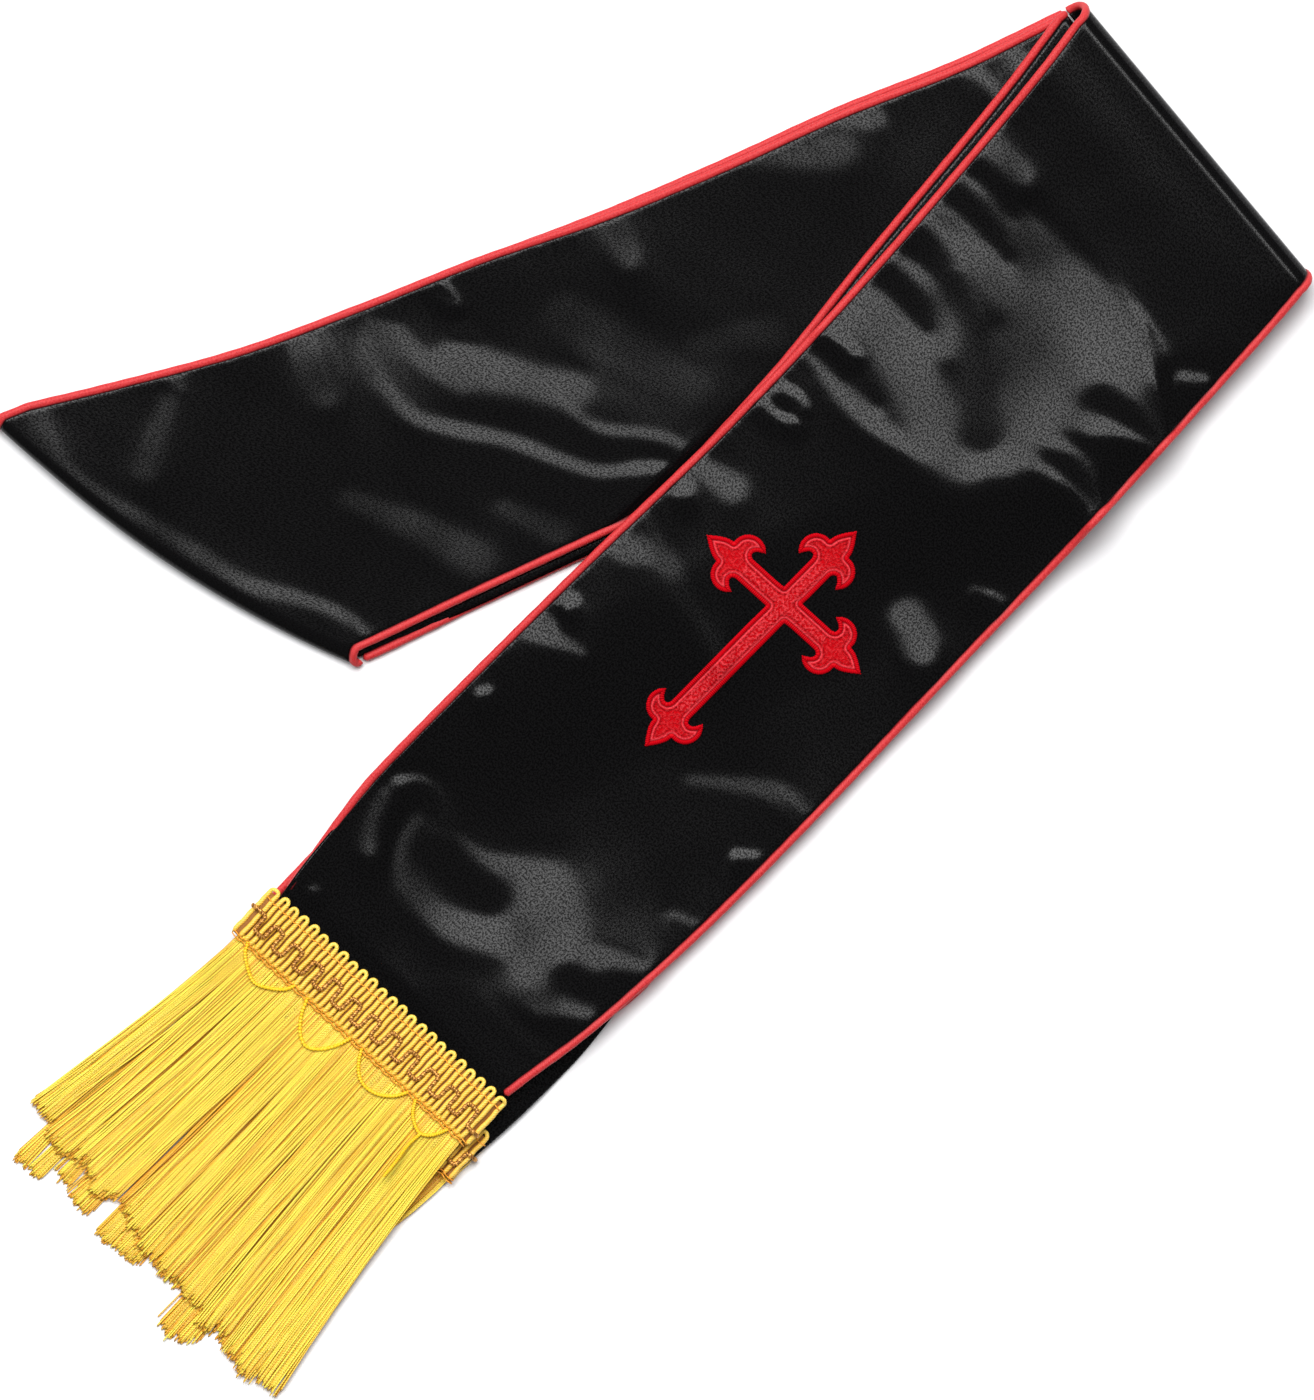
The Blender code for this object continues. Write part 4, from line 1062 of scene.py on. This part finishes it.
# The colour at each distance inside the cross's outline, in millimetres: the thread's own reds, with the dark
# bands beside the raised border and the outline stitch painted as shade.
Band = namedtuple("Band", "inset colour")
CROSS_COLOUR_AND_SHADE_BANDS = [
    Band(0.0, (0.66, 0.003, 0.012)),
    Band(0.6, (0.55, 0.0, 0.005)),
    Band(1.5, (0.54, 0.0, 0.005)),
    Band(1.85, (0.20, 0.0, 0.002)),
    Band(2.35, (0.92, 0.07, 0.09)),
    Band(2.85, (0.60, 0.0, 0.006)),
    Band(3.25, (0.26, 0.0, 0.002)),
    Band(3.8, THREAD_MID),
]


def arm_outline(length):
    """One arm's outline from its left crotch round its three-lobed end to its right side."""
    shaft = np.linspace((CROSS_HALF_WIDTH, CROSS_HALF_WIDTH), (length - SHAFT_END, CROSS_HALF_WIDTH), 6)
    runs = [smooth_path(run, 0.9)[:-1] + (length, 0.0) for run in (HOOK_INSIDE, HOOK_OUTSIDE, PETAL)]
    half = np.concatenate([shaft, *runs, ((length, 0.0),)])
    mirrored = half[-2:0:-1] * (1, -1)
    return np.concatenate([half, mirrored])


def cross_outline():
    made = []
    for arm in ARMS:
        heading = math.radians(arm.heading)
        along = np.array((math.cos(heading), math.sin(heading)))
        side = np.array((-along[1], along[0]))
        points = arm_outline(arm.length)
        made.append(points[:, :1] * along + points[:, 1:] * side)
    return np.concatenate(made)


def outline_distance(points, outline):
    """Distance inside the outline (negative outside), the nearest point, and how far along."""
    nearest = np.full(len(points), FAR_AWAY)
    spot = np.zeros_like(points)
    along = np.zeros(len(points))
    inside = np.zeros(len(points), bool)
    gone = 0.0
    for start, end in zip(outline, np.roll(outline, -1, axis=0)):
        span = end - start
        length = np.hypot(*span)
        t = np.clip((points - start) @ span / length**2, 0.0, 1.0)
        near = start + t[:, None] * span
        off = np.hypot(*(points - near).T)
        closer = off < nearest
        nearest[closer] = off[closer]
        spot[closer] = near[closer]
        along[closer] = gone + t[closer] * length
        gone += length
        crosses = (start[1] > points[:, 1]) != (end[1] > points[:, 1])
        rise = span[1] if abs(span[1]) > 1e-9 else 1e-9
        at = start[0] + (points[:, 1] - start[1]) * span[0] / rise
        inside ^= crosses & (points[:, 0] < at)
    return np.where(inside, nearest, -nearest), spot, along


outline = cross_outline()
low, high = outline.min(axis=0) - 2 * CROSS_CELL, outline.max(axis=0) + 2 * CROSS_CELL
cells = np.ceil((high - low) / CROSS_CELL).astype(int)
mesh, column, row = grid_mesh("embroidered_cross", int(cells[0]), int(cells[1]))
flat = low + np.stack([column, row], axis=1) * CROSS_CELL
inset, spot, stitch = outline_distance(flat, outline)
kept = inset > -0.5 * CROSS_CELL
on_outline = kept & (inset < 0.5 * CROSS_CELL)
flat[on_outline] = spot[on_outline]
inset = np.maximum(np.where(on_outline, 0.0, inset), 0.0)
lean, rise = (math.tan(math.radians(angle)) for angle in (UPRIGHT_LEAN_DEG, LEVEL_LEAN_DEG))
off_upright = np.abs(flat[:, 0] - lean * flat[:, 1])
off_level = np.abs(flat[:, 1] - rise * flat[:, 0])
across_bar = np.minimum(
    np.where((flat[:, 1] < RIB_REACH) & (flat[:, 1] > -LONG_RIB_REACH), off_upright, FAR_AWAY),
    np.where(np.abs(flat[:, 0]) < RIB_REACH, off_level + LEVEL_RIB_THINNER, FAR_AWAY),
)
border = 1 - smooth((inset - BORDER_WIDTH + BORDER_STEP / 2) / BORDER_STEP)
line = np.exp(-(((inset - OUTLINE_STITCH) / OUTLINE_WIDTH) ** 2))
rib = 1 - smooth((across_bar - RIB_HALF) / RIB_EDGE)
rounded = np.sqrt(np.clip(1 - ((inset - BORDER_WIDTH / 2) / (BORDER_WIDTH / 2 + BORDER_FLAT)) ** 2, 0.0, 1.0))
groove = smooth((inset - BORDER_WIDTH) / BORDER_STEP)
above_satin = PATCH_RISE + (BORDER_RISE - PATCH_RISE) * rounded * border + (FIELD_RISE - PATCH_RISE) * groove
above_satin += OUTLINE_RISE * line * groove + RIB_RISE * rib * groove
plan_x, plan_y = (CROSS_CENTRE + flat).T
seat = front_tail_height(plan_x, plan_y) + SHELL / 2
set_points(mesh, np.stack([plan_x, plan_y, seat + above_satin], axis=1))
set_uv(mesh, flat[:, 0] * MM, flat[:, 1] * MM)
for name, values in (("border", border), ("inset", inset), ("rib", rib * groove), ("stitch", stitch)):
    set_attribute(mesh, name, values)
made = bmesh.new()
made.from_mesh(mesh)
made.verts.ensure_lookup_table()
outside = [face for face in made.faces if not all(kept[v.index] for v in face.verts)]
bmesh.ops.delete(made, geom=outside, context="FACES")
rim_edges = [edge for edge in made.edges if edge.is_boundary]
skirt = bmesh.ops.extrude_edge_only(made, edges=rim_edges)
for vertex in skirt["geom"]:
    if isinstance(vertex, bmesh.types.BMVert):
        vertex.co.z -= PATCH_SKIRT * MM
bmesh.ops.recalc_face_normals(made, faces=made.faces)
made.to_mesh(mesh)
made.free()

embroidery, tree, shader = new_material("red embroidery", 0.5, 0.05)
uv = uv_of(tree)
border_mask, inset_at, rib_highlight_mask, stitch_at = (
    attribute_of(tree, name) for name in ("border", "inset", "rib", "stitch"))
deepest = 2 * CROSS_COLOUR_AND_SHADE_BANDS[-1].inset
bands = add_node(tree, "ShaderNodeValToRGB", {"Fac": scale_add(tree, inset_at, 1 / deepest, 0.0)})
while len(bands.color_ramp.elements) < len(CROSS_COLOUR_AND_SHADE_BANDS):
    bands.color_ramp.elements.new(1.0)
for stop, band in zip(bands.color_ramp.elements, CROSS_COLOUR_AND_SHADE_BANDS):
    stop.position = band.inset / deepest
    stop.color = (*band.colour, 1.0)
grain = grain_on(tree, uv, 0.0008, 0.6)
stipple = grain_on(tree, uv, 0.0012, 2.2)
field_rows = ridges_on(tree, uv, 1500.0, 900.0, 2.0)
stitch_wave = calculate(tree, "SINE", scale_add(tree, stitch_at, 2 * math.pi / STITCH_SPACING, 0.0))
stitch_ridge = scale_add(tree, stitch_wave, 0.5, 0.5)
# Pale speckles are painted highlights on the stitches, more of them on the padded ribs.
speckle_and_rib_highlight = calculate(tree, "MULTIPLY", stipple, scale_add(tree, rib_highlight_mask, 0.40, 0.22))
field = mix_colour(tree, speckle_and_rib_highlight, bands.outputs["Color"], THREAD_PALE)
shaded = mix_colour(tree, scale_add(tree, grain, -0.6, 0.5), field, THREAD_DARK)
edged = mix_colour(tree, scale_add(tree, stitch_ridge, -0.3, 0.3), bands.outputs["Color"], THREAD_DARK)
inner_height = scale_add(tree, field_rows, 0.4, scale_add(tree, stipple, 1.2, grain))
height = add_node(tree, "ShaderNodeMix", {0: border_mask, 2: inner_height, 3: stitch_ridge}, data_type="FLOAT")
finish_surface(tree, shader, mix_colour(tree, border_mask, shaded, edged), scale_add(tree, grain, 0.2, 0.36),
               height.outputs[0], 0.7, 0.0003)
cross_piece = add_piece("embroidered_cross", mesh, embroidery)
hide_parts("cross_applique")

# The gold braids
# Scroll gimp, 21 mm wide, of yellow rayon cord: looped at its upper edge, with a darker
# metallic cord laid over it in a meander and thin threads binding its two sides. The front
# one is sewn over the tail's end; the under one faces down and is wrapped round its edge.
LOOP_RADIUS, LEG_RADIUS, BOW_RADIUS = 1.37, 1.03, 0.88
BACKING_LIFT, LEG_LIFT, SCROLL_LIFT = 0.25, 1.05, 2.45
SCROLL_PERIOD, SCROLL_TOP, SCROLL_BOTTOM, SCROLL_RADIUS = 10.7, -9.6, -17.0, 0.88
SCROLL_LUMPS, SCROLL_LUMP_STEP = 0.18, 1.9
BINDING_RADIUS, BINDING_LIFT, BINDING_WAVE, BINDING_SPACING = 0.30, 1.45, 0.42, 0.45
LEG_END, BOW_START, WAIST = 23.6, 0.4, 3.4
LEG_POINTS, BOW_POINTS, BACKING_ROWS, BACKING_THICKNESS = 12, 11, 14, 0.5
# Rows of binding thread: how far below the loops' tops, and where its waves start.
BINDING_ROWS = ((-WAIST, 0.0), (-22.4, 0.8), (-23.7, 2.1))
# How the front braid turns down past the tail's edges, and how far back the under one comes.
EDGE_INSET, EDGE_ROUND, EDGE_TURN = 0.8, 1.7, 1.3
WRAP_LEFT, WRAP_RIGHT, WRAP_BACK = 1.2, 1.4, 10.6
GOLD_MID, GOLD_PALE = (0.76, 0.36, 0.013), (1.0, 0.75, 0.13)
# The backing's dark browns are painted shade in the gaps between the loops.
BACKING_DARK, BACKING_LIGHT = (0.12, 0.03, 0.003), (0.42, 0.16, 0.01)
BRONZE_DARK, BRONZE_LIGHT = (0.10, 0.022, 0.002), (0.80, 0.38, 0.07)
ORANGE_DARK, ORANGE_LIGHT = (0.70, 0.20, 0.010), (1.0, 0.46, 0.03)
CHAIN_DARK, CHAIN_LIGHT = (0.78, 0.38, 0.003), (1.0, 0.70, 0.015)

Braid = namedtuple("Braid", "name top slant first last")
FRONT_BRAID = Braid("front", 0.5, 0.012, -2.4, 2.8)
UNDER_BRAID = Braid("under", -13.0, -0.01, 0.0, 0.0)


def gold_finish(name, dark, light, roughness=0.45, metallic=0.0, ridge_across=900.0):
    """Gold cord: a dark and a light colour mixed by its twist, its fibres and each cord's shade, which holds a
    painted highlight on the loops and painted shade on the fringe threads.
    """
    made, tree, shader = new_material(name, roughness, 0.5, metallic=metallic)
    uv = uv_of(tree)
    grain = grain_on(tree, uv, 0.0008, 0.6)
    twist = ridges_on(tree, uv, ridge_across, 900.0, 0.6)
    shade = scale_add(tree, attribute_of(tree, "shade"), 0.7, -0.15)
    share = scale_add(tree, twist, 0.30, scale_add(tree, grain, 0.3, shade))
    limited = add_node(tree, "ShaderNodeClamp", {"Value": share}).outputs[0]
    finish_surface(tree, shader, mix_colour(tree, limited, dark, light),
                   scale_add(tree, grain, 0.2, roughness - 0.1),
                   scale_add(tree, twist, 0.8, grain), 0.5, 0.00025)
    return made


gimp = gold_finish("yellow gimp cord", GOLD_MID, GOLD_PALE, roughness=0.42)
backing_painted_shade = gold_finish(
    "gold braid backing in painted shade", BACKING_DARK, BACKING_LIGHT, roughness=0.6, ridge_across=2200.0)
bronze = gold_finish("bronze scroll cord", BRONZE_DARK, BRONZE_LIGHT, 0.34, metallic=0.5, ridge_across=700.0)
orange = gold_finish("orange binding thread", ORANGE_DARK, ORANGE_LIGHT)
bright_yellow = gold_finish("bright yellow chain thread", CHAIN_DARK, CHAIN_LIGHT)


def front_braid_path():
    """The front tail's upper face at its end, in x and z, rounded down past both edges."""
    left = FRONT_TAIL[1].left + EDGE_INSET
    right = FRONT_TAIL[1].right - EDGE_INSET
    x = np.linspace(left, right, 500)
    z = front_tail_height(x, np.full_like(x, -BRAID_HEIGHT / 2)) + CLOTH / 2 + GAP
    turn = np.linspace(0.0, EDGE_TURN, 14)[1:]
    out, down = EDGE_ROUND * np.sin(turn), EDGE_ROUND * (1 - np.cos(turn))
    over_left = np.stack([left - out, z[0] - down], axis=1)[::-1]
    over_right = np.stack([right + out, z[-1] - down], axis=1)
    return np.concatenate([over_left, np.stack([x, z], axis=1), over_right])


def under_braid_path():
    """Below the under tail, which faces down, round its right edge and a little way back on top."""
    left, right = UNDER_TAIL[0].left + WRAP_LEFT, UNDER_TAIL[0].right - WRAP_RIGHT
    low = BRAID_THICKNESS + GAP / 2
    top = under_tail_height(np.array([right]), np.array([UNDER_END_Y]))[0] + CLOTH / 2 + GAP
    reach = (top - low) / 2
    x = np.linspace(left, right, 500)
    turn = np.linspace(0.0, math.pi, 24)[1:]
    bend = np.stack([right + reach * np.sin(turn), mix(low, top, (1 - np.cos(turn)) / 2)], axis=1)
    back = np.linspace(right, right - WRAP_BACK, 40)[1:]
    below, above = np.full_like(x, low), np.full_like(back, top)
    return np.concatenate([np.stack([x, below], axis=1), bend, np.stack([back, above], axis=1)])


def braid_surface(path, outward):
    """Places on a braid: the length along its path, y and the lift off it give a point."""
    steps = np.hypot(*np.diff(path, axis=0).T)
    lengths = np.concatenate(([0.0], np.cumsum(steps)))
    tangent = np.gradient(path, lengths, axis=0)
    normal = np.stack([-tangent[:, 1], tangent[:, 0]], axis=1) * outward
    normal /= np.hypot(*normal.T)[:, None]

    def point(s, y, lift, slant):
        x, z, nx, nz = (np.interp(s, lengths, column) for column in (*path.T, *normal.T))
        return np.stack([x + nx * lift, y + slant * x, z + nz * lift], axis=-1)

    return point, lengths[-1]


# A direction that no cord runs along, and each cord's share of its finish's UV map.
STEADY = np.array((0.0, 0.4, 0.9))
CORD_UV_TURN, CORD_UV_STEP = 0.0006, 0.013


def rolled_cords(name, lines, radius, sides, shades):
    """Cords side by side on one grid: each is a strip of it rolled up round its own line."""
    cords, knots = lines.shape[:2]
    per = sides + 1
    mesh, column, row = grid_mesh(name, cords * per - 1, knots - 1)
    cord, corner = column // per, column % per
    tangent = unit(np.gradient(lines, axis=1))
    aside = unit(np.cross(tangent, STEADY))
    above = np.cross(aside, tangent)
    turn = 2 * math.pi * corner / sides
    wide = np.broadcast_to(radius, (cords, knots)).copy()
    wide[:, 0] = 0.0
    wide[:, -1] = 0.0
    ring = aside[cord, row] * np.cos(turn)[:, None] + above[cord, row] * np.sin(turn)[:, None]
    points = lines[cord, row] + wide[cord, row][:, None] * ring
    points[:, 2] = np.maximum(points[:, 2], TABLE_GAP)
    set_points(mesh, points)
    steps = np.linalg.norm(np.diff(lines, axis=1), axis=2)
    run = np.concatenate([np.zeros((cords, 1)), np.cumsum(steps, axis=1)], axis=1)
    set_uv(mesh, turn * CORD_UV_TURN, run[cord, row] * MM + cord * CORD_UV_STEP)
    set_attribute(mesh, "shade", np.broadcast_to(shades, (cords, knots))[cord, row])
    close_tube(mesh, cord)
    return mesh


def add_cords(name, lines, radius, sides, shades, finish):
    return add_piece(name, rolled_cords(name, lines, radius, sides, shades), finish)


def loop_lines(braid, point, long):
    """Each loop runs up one leg, over the top and down the next leg."""
    count = int((long + braid.last - braid.first - LOOP_PITCH / 2) / LOOP_PITCH)
    start = (long - (count - 1) * LOOP_PITCH) / 2
    leg, bow = np.linspace(0, 1, LEG_POINTS), np.linspace(0, 1, BOW_POINTS)[1:-1]
    shares = np.concatenate([leg, bow + 1, np.linspace(2, 3, LEG_POINTS)])
    first, last = shares < 1, shares > 2
    angle = math.pi * (shares - 1)
    lines = []
    for number in range(count):
        s0 = start + number * LOOP_PITCH
        bottom, top = braid.top - LEG_END, braid.top - BOW_START + 0.25 * math.sin(number * 2.1)
        y = top + LOOP_RADIUS * 1.1 * np.sin(angle)
        y = np.where(first, mix(bottom, top, shares), np.where(last, mix(top, bottom, shares - 2), y))
        beside = np.where(first, -LOOP_RADIUS, np.where(last, LOOP_RADIUS, -LOOP_RADIUS * np.cos(angle)))
        s = s0 + beside + 0.12 * np.sin(y * 0.7 + number * 1.7)
        waist = 0.35 * np.exp(-((y - braid.top + WAIST) ** 2))
        lift = LEG_LIFT - waist + 0.1 * np.sin(y * 1.3 + number)
        lines.append(point(s, y, lift, braid.slant))
    return np.array(lines)


def binding_lines(braid, point, long):
    """Thin threads that run over each leg: one row near the loops and two at the lower edge."""
    s = np.linspace(0.4, long - 0.4, int(long / BINDING_SPACING))
    lines = []
    for row_y, step in BINDING_ROWS:
        wave = 2 * math.pi * s / (LOOP_PITCH / 2) + step
        y = braid.top + row_y + 0.30 * np.sin(wave * 0.5)
        lines.append(point(s, y, BINDING_LIFT + BINDING_WAVE * np.cos(wave), braid.slant))
    return np.array(lines)


def scroll_line(braid, point, long):
    """The meander: squarish turns between two heights."""
    t = np.linspace(1.0, long - 1.2, int((long - 1.0) * 5))
    phase = 2 * math.pi * t / SCROLL_PERIOD
    s = t - 0.75 * np.sin(2 * phase) + 0.25 * np.sin(phase * 0.43)
    swing = np.tanh(2.1 * np.sin(phase)) / math.tanh(2.1)
    middle, half = (SCROLL_TOP + SCROLL_BOTTOM) / 2, (SCROLL_TOP - SCROLL_BOTTOM) / 2
    y = braid.top + middle + half * swing + 0.35 * np.sin(phase * 0.29 + 1)
    return point(s, y, SCROLL_LIFT + 0.12 * np.sin(phase * 3.1), braid.slant)[None]


def braid_backing(braid, point, long):
    mesh, column, row = grid_mesh(braid.name + "_braid_backing", int(long), BACKING_ROWS)
    s = column / int(long) * long
    y = braid.top - 0.6 - row / BACKING_ROWS * (BRAID_HEIGHT + 1.2)
    lift = BACKING_LIFT + 0.12 * np.sin(2 * math.pi * s / (LOOP_PITCH / 2))
    set_points(mesh, point(s, y, lift, braid.slant))
    set_uv(mesh, s * MM, y * MM)
    set_attribute(mesh, "shade", 0.35 + 0.2 * np.sin(s * 0.9))
    piece = add_piece(braid.name + "_braid_backing", mesh, backing_painted_shade)
    thicken(piece, BACKING_THICKNESS)
    return piece


trim_pieces = {"front": [], "under": []}
surfaces = {}
for braid, path, outward in (
    (FRONT_BRAID, front_braid_path(), 1.0),
    (UNDER_BRAID, under_braid_path(), -1.0),
):
    point, long = braid_surface(path, outward)
    surfaces[braid.name] = (point, long)
    called = braid.name + "_braid_"
    loops = loop_lines(braid, point, long)
    numbers = np.arange(len(loops))[:, None]
    below_top = loops[:, :, 1] - braid.top
    # Each loop is painted paler towards its top, a painted highlight, with a little tone that differs from
    # loop to loop.
    loop_tone_and_painted_highlight = 0.45 + 0.35 * smooth((below_top + 2.5) / 3) + 0.08 * np.sin(numbers * 2.3)
    leg_radius = mix(LEG_RADIUS, BOW_RADIUS, smooth((below_top + 3.0) / 3))
    scroll = scroll_line(braid, point, long)
    lump = np.sin(np.arange(scroll.shape[1]) * SCROLL_LUMP_STEP)[None]
    scroll_radius = SCROLL_RADIUS * (1 + SCROLL_LUMPS * lump)
    trim_pieces[braid.name] += [
        braid_backing(braid, point, long),
        add_cords(called + "loops", loops, leg_radius, 8, loop_tone_and_painted_highlight, gimp),
        add_cords(called + "bindings", binding_lines(braid, point, long), BINDING_RADIUS, 6, 0.5, orange),
        add_cords(called + "scroll", scroll, scroll_radius, 8, 0.5 + 0.5 * lump, bronze),
    ]

# Chain-stitched scallops of bright thread that hang below the front braid over its fringe.
CHAIN_RADIUS, CHAIN_LUMPS, CHAIN_LUMP_STEP, CHAIN_POINTS = 0.72, 0.34, 1.5, 120
CHAIN_LIFT, CHAIN_DROP, CHAIN_DROP_FADE = 1.8, 1.2, Fade(22.0, 14.0)
SCALLOPS = [
    ((-58, -22), (-56, -26), (-51, -30), (-45, -32.5), (-39, -30), (-34, -26), (-32, -22)),
    ((-25, -22), (-22, -29), (-17, -35), (-12, -37), (-7, -34), (-3, -28), (-1, -22)),
    ((5, -22), (8, -27), (12, -31), (17, -32.5), (23, -31), (28, -27), (31, -22)),
    ((35, -22), (38, -27), (42, -30), (46, -31), (50, -28), (53, -22)),
    ((46, -31), (45.5, -38), (46.5, -46), (47, -54)),
]
chain_lines = []
for path in SCALLOPS:
    line_xy = smooth_path(path, 0.3)
    share = np.linspace(0.0, 1.0, CHAIN_POINTS)
    even = np.linspace(0.0, 1.0, len(line_xy))
    x, y = (np.interp(share, even, line_xy[:, k]) for k in (0, 1))
    level = front_tail_height(x, np.full_like(x, FRONT_END_Y)) + CLOTH / 2 + CHAIN_LIFT
    chain_lines.append(np.stack([x, y, level - CHAIN_DROP * fade_in(-y, CHAIN_DROP_FADE)], axis=1))
chain_radius = CHAIN_RADIUS * (1 + CHAIN_LUMPS * np.sin(np.arange(CHAIN_POINTS) * CHAIN_LUMP_STEP))[None]
trim_pieces["front"].append(
    add_cords("front_scallops", np.array(chain_lines), chain_radius, 7, 0.7, bright_yellow))

# The fringes
# Brush fringe of fine yellow rayon threads, sewn under each braid's lower edge. The threads
# lie in ragged locks, fan out a little, and end unevenly; the under tail's fringe lies on
# the table and the front one lies on it.
Fringe = namedtuple(
    "Fringe", "name braid left right count root length lengthen spread low high locks pull ragged seed")
FRINGES = [
    Fringe("front_fringe", FRONT_BRAID, -62.5, 60.0, 1750, -20.0, 120.0, 0.19,
           0.22, 2.6, 6.2, 26, 0.25, 2.0, 3),
    Fringe("under_fringe", UNDER_BRAID, -62.0, 67.0, 1300, -33.0, 117.0, 0.04,
           0.09, 0.4, 2.2, 13, 0.62, 3.4, 8),
]
THREAD_RADIUS, THREAD_SIDES = 0.43, 3
THREAD_KNOTS = np.array((0.0, 0.008, 0.09, 0.2, 0.34, 0.5, 0.67, 0.84, 0.978, 0.992, 1.0))
THREAD_GOLD_DARK, THREAD_GOLD_LIGHT = (0.78, 0.24, 0.003), (1.0, 0.83, 0.085)
# How far locks and single threads stray, how unevenly the ends are cut, the share of threads
# that are much shorter, and by how much at most; then the lowest height, and the under roots'.
LOCK_STRAY, THREAD_STRAY, END_UNEVEN, CURL = 1.5, 1.6, 1.3, 0.9
SHORT_SHARE, SHORT_BY = 0.04, 16
THREAD_LOWEST, UNDER_ROOT_Z, TIP_SINK, RISE_WAVE = 0.3, 1.2, 0.55, 0.25

threads_gold = gold_finish("yellow fringe thread", THREAD_GOLD_DARK, THREAD_GOLD_LIGHT, roughness=0.4)

fringe_pieces = {}
for fringe in FRINGES:
    random = np.random.default_rng(fringe.seed)
    point, long = surfaces[fringe.braid.name]
    count, left, right = fringe.count, fringe.left, fringe.right
    root_x = np.sort(random.uniform(left, right, count))
    layer_at = random.uniform(0.0, 1.0, count)
    root_z = np.full(count, UNDER_ROOT_Z)
    if fringe.name == "front_fringe":
        path_x, _, path_z = point(np.linspace(0, long, 400), np.zeros(400), 0.0, 0.0)[:380].T
        root_z = np.interp(root_x, path_x, path_z)
    off_middle = root_x - (left + right) / 2
    lock_middles = np.sort(random.uniform(left - 1, right + 1, fringe.locks))
    lock_shift = random.normal(0.0, LOCK_STRAY, fringe.locks)
    lock_long = random.normal(0.0, fringe.ragged, fringe.locks)
    lock = np.abs(root_x[:, None] - lock_middles[None]).argmin(axis=1)
    stray = random.normal(0.0, THREAD_STRAY, count)
    length = fringe.length + fringe.lengthen * off_middle + lock_long[lock]
    length += random.normal(0, END_UNEVEN, count)
    length -= SHORT_BY * (random.uniform(0, 1, count) < SHORT_SHARE) * random.uniform(0, 1, count)
    share = THREAD_KNOTS[None]
    pull = (lock_middles[lock] - root_x)[:, None] * fringe.pull * smooth(share * 1.15)
    drift = (off_middle * fringe.spread + lock_shift[lock] + stray)[:, None] * share**1.3
    curl = random.normal(0, CURL, count)[:, None]
    curl = curl * np.sin(share * 3.6 + random.uniform(0, 6, count)[:, None]) * share
    x = root_x[:, None] + pull + drift + curl
    y = fringe.root - length[:, None] * share + fringe.braid.slant * root_x[:, None]
    rest_z = mix(fringe.low, fringe.high, layer_at)[:, None] * (1 - TIP_SINK * share)
    z = mix(root_z[:, None] + 0.5 * layer_at[:, None], rest_z, smooth(share * 3.2))
    z = z + RISE_WAVE * np.sin(share * 9 + random.uniform(0, 6, count)[:, None]) * share
    z = np.maximum(z, THREAD_LOWEST)
    radius = THREAD_RADIUS * random.uniform(0.8, 1.2, count)[:, None]
    # The upper threads are paler and the deeper ones that show between them darker: painted shade between the
    # threads.
    shades = (1.1 * layer_at**4 + 0.3 * random.uniform(0.0, 1.0, count))[:, None]
    lines = np.stack([x, y, z], axis=2)
    piece = add_cords(fringe.name + "_threads", lines, radius, THREAD_SIDES, shades, threads_gold)
    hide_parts(fringe.name)
    fringe_pieces[fringe.braid.name] = piece

# The trim of each layer
# Every layer is a stretch of the one strip, folded and laid; the trim sewn to each tail is listed with it.
worn_with = {
    "front_tail": [cross_piece, fringe_pieces["front"], *trim_pieces["front"]],
    "under_tail": [fringe_pieces["under"], *trim_pieces["under"]],
    "neck_top_layer": [],
    "neck_lower_layer": [],
}
for layer in LAYERS:
    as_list(layer.rests_on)
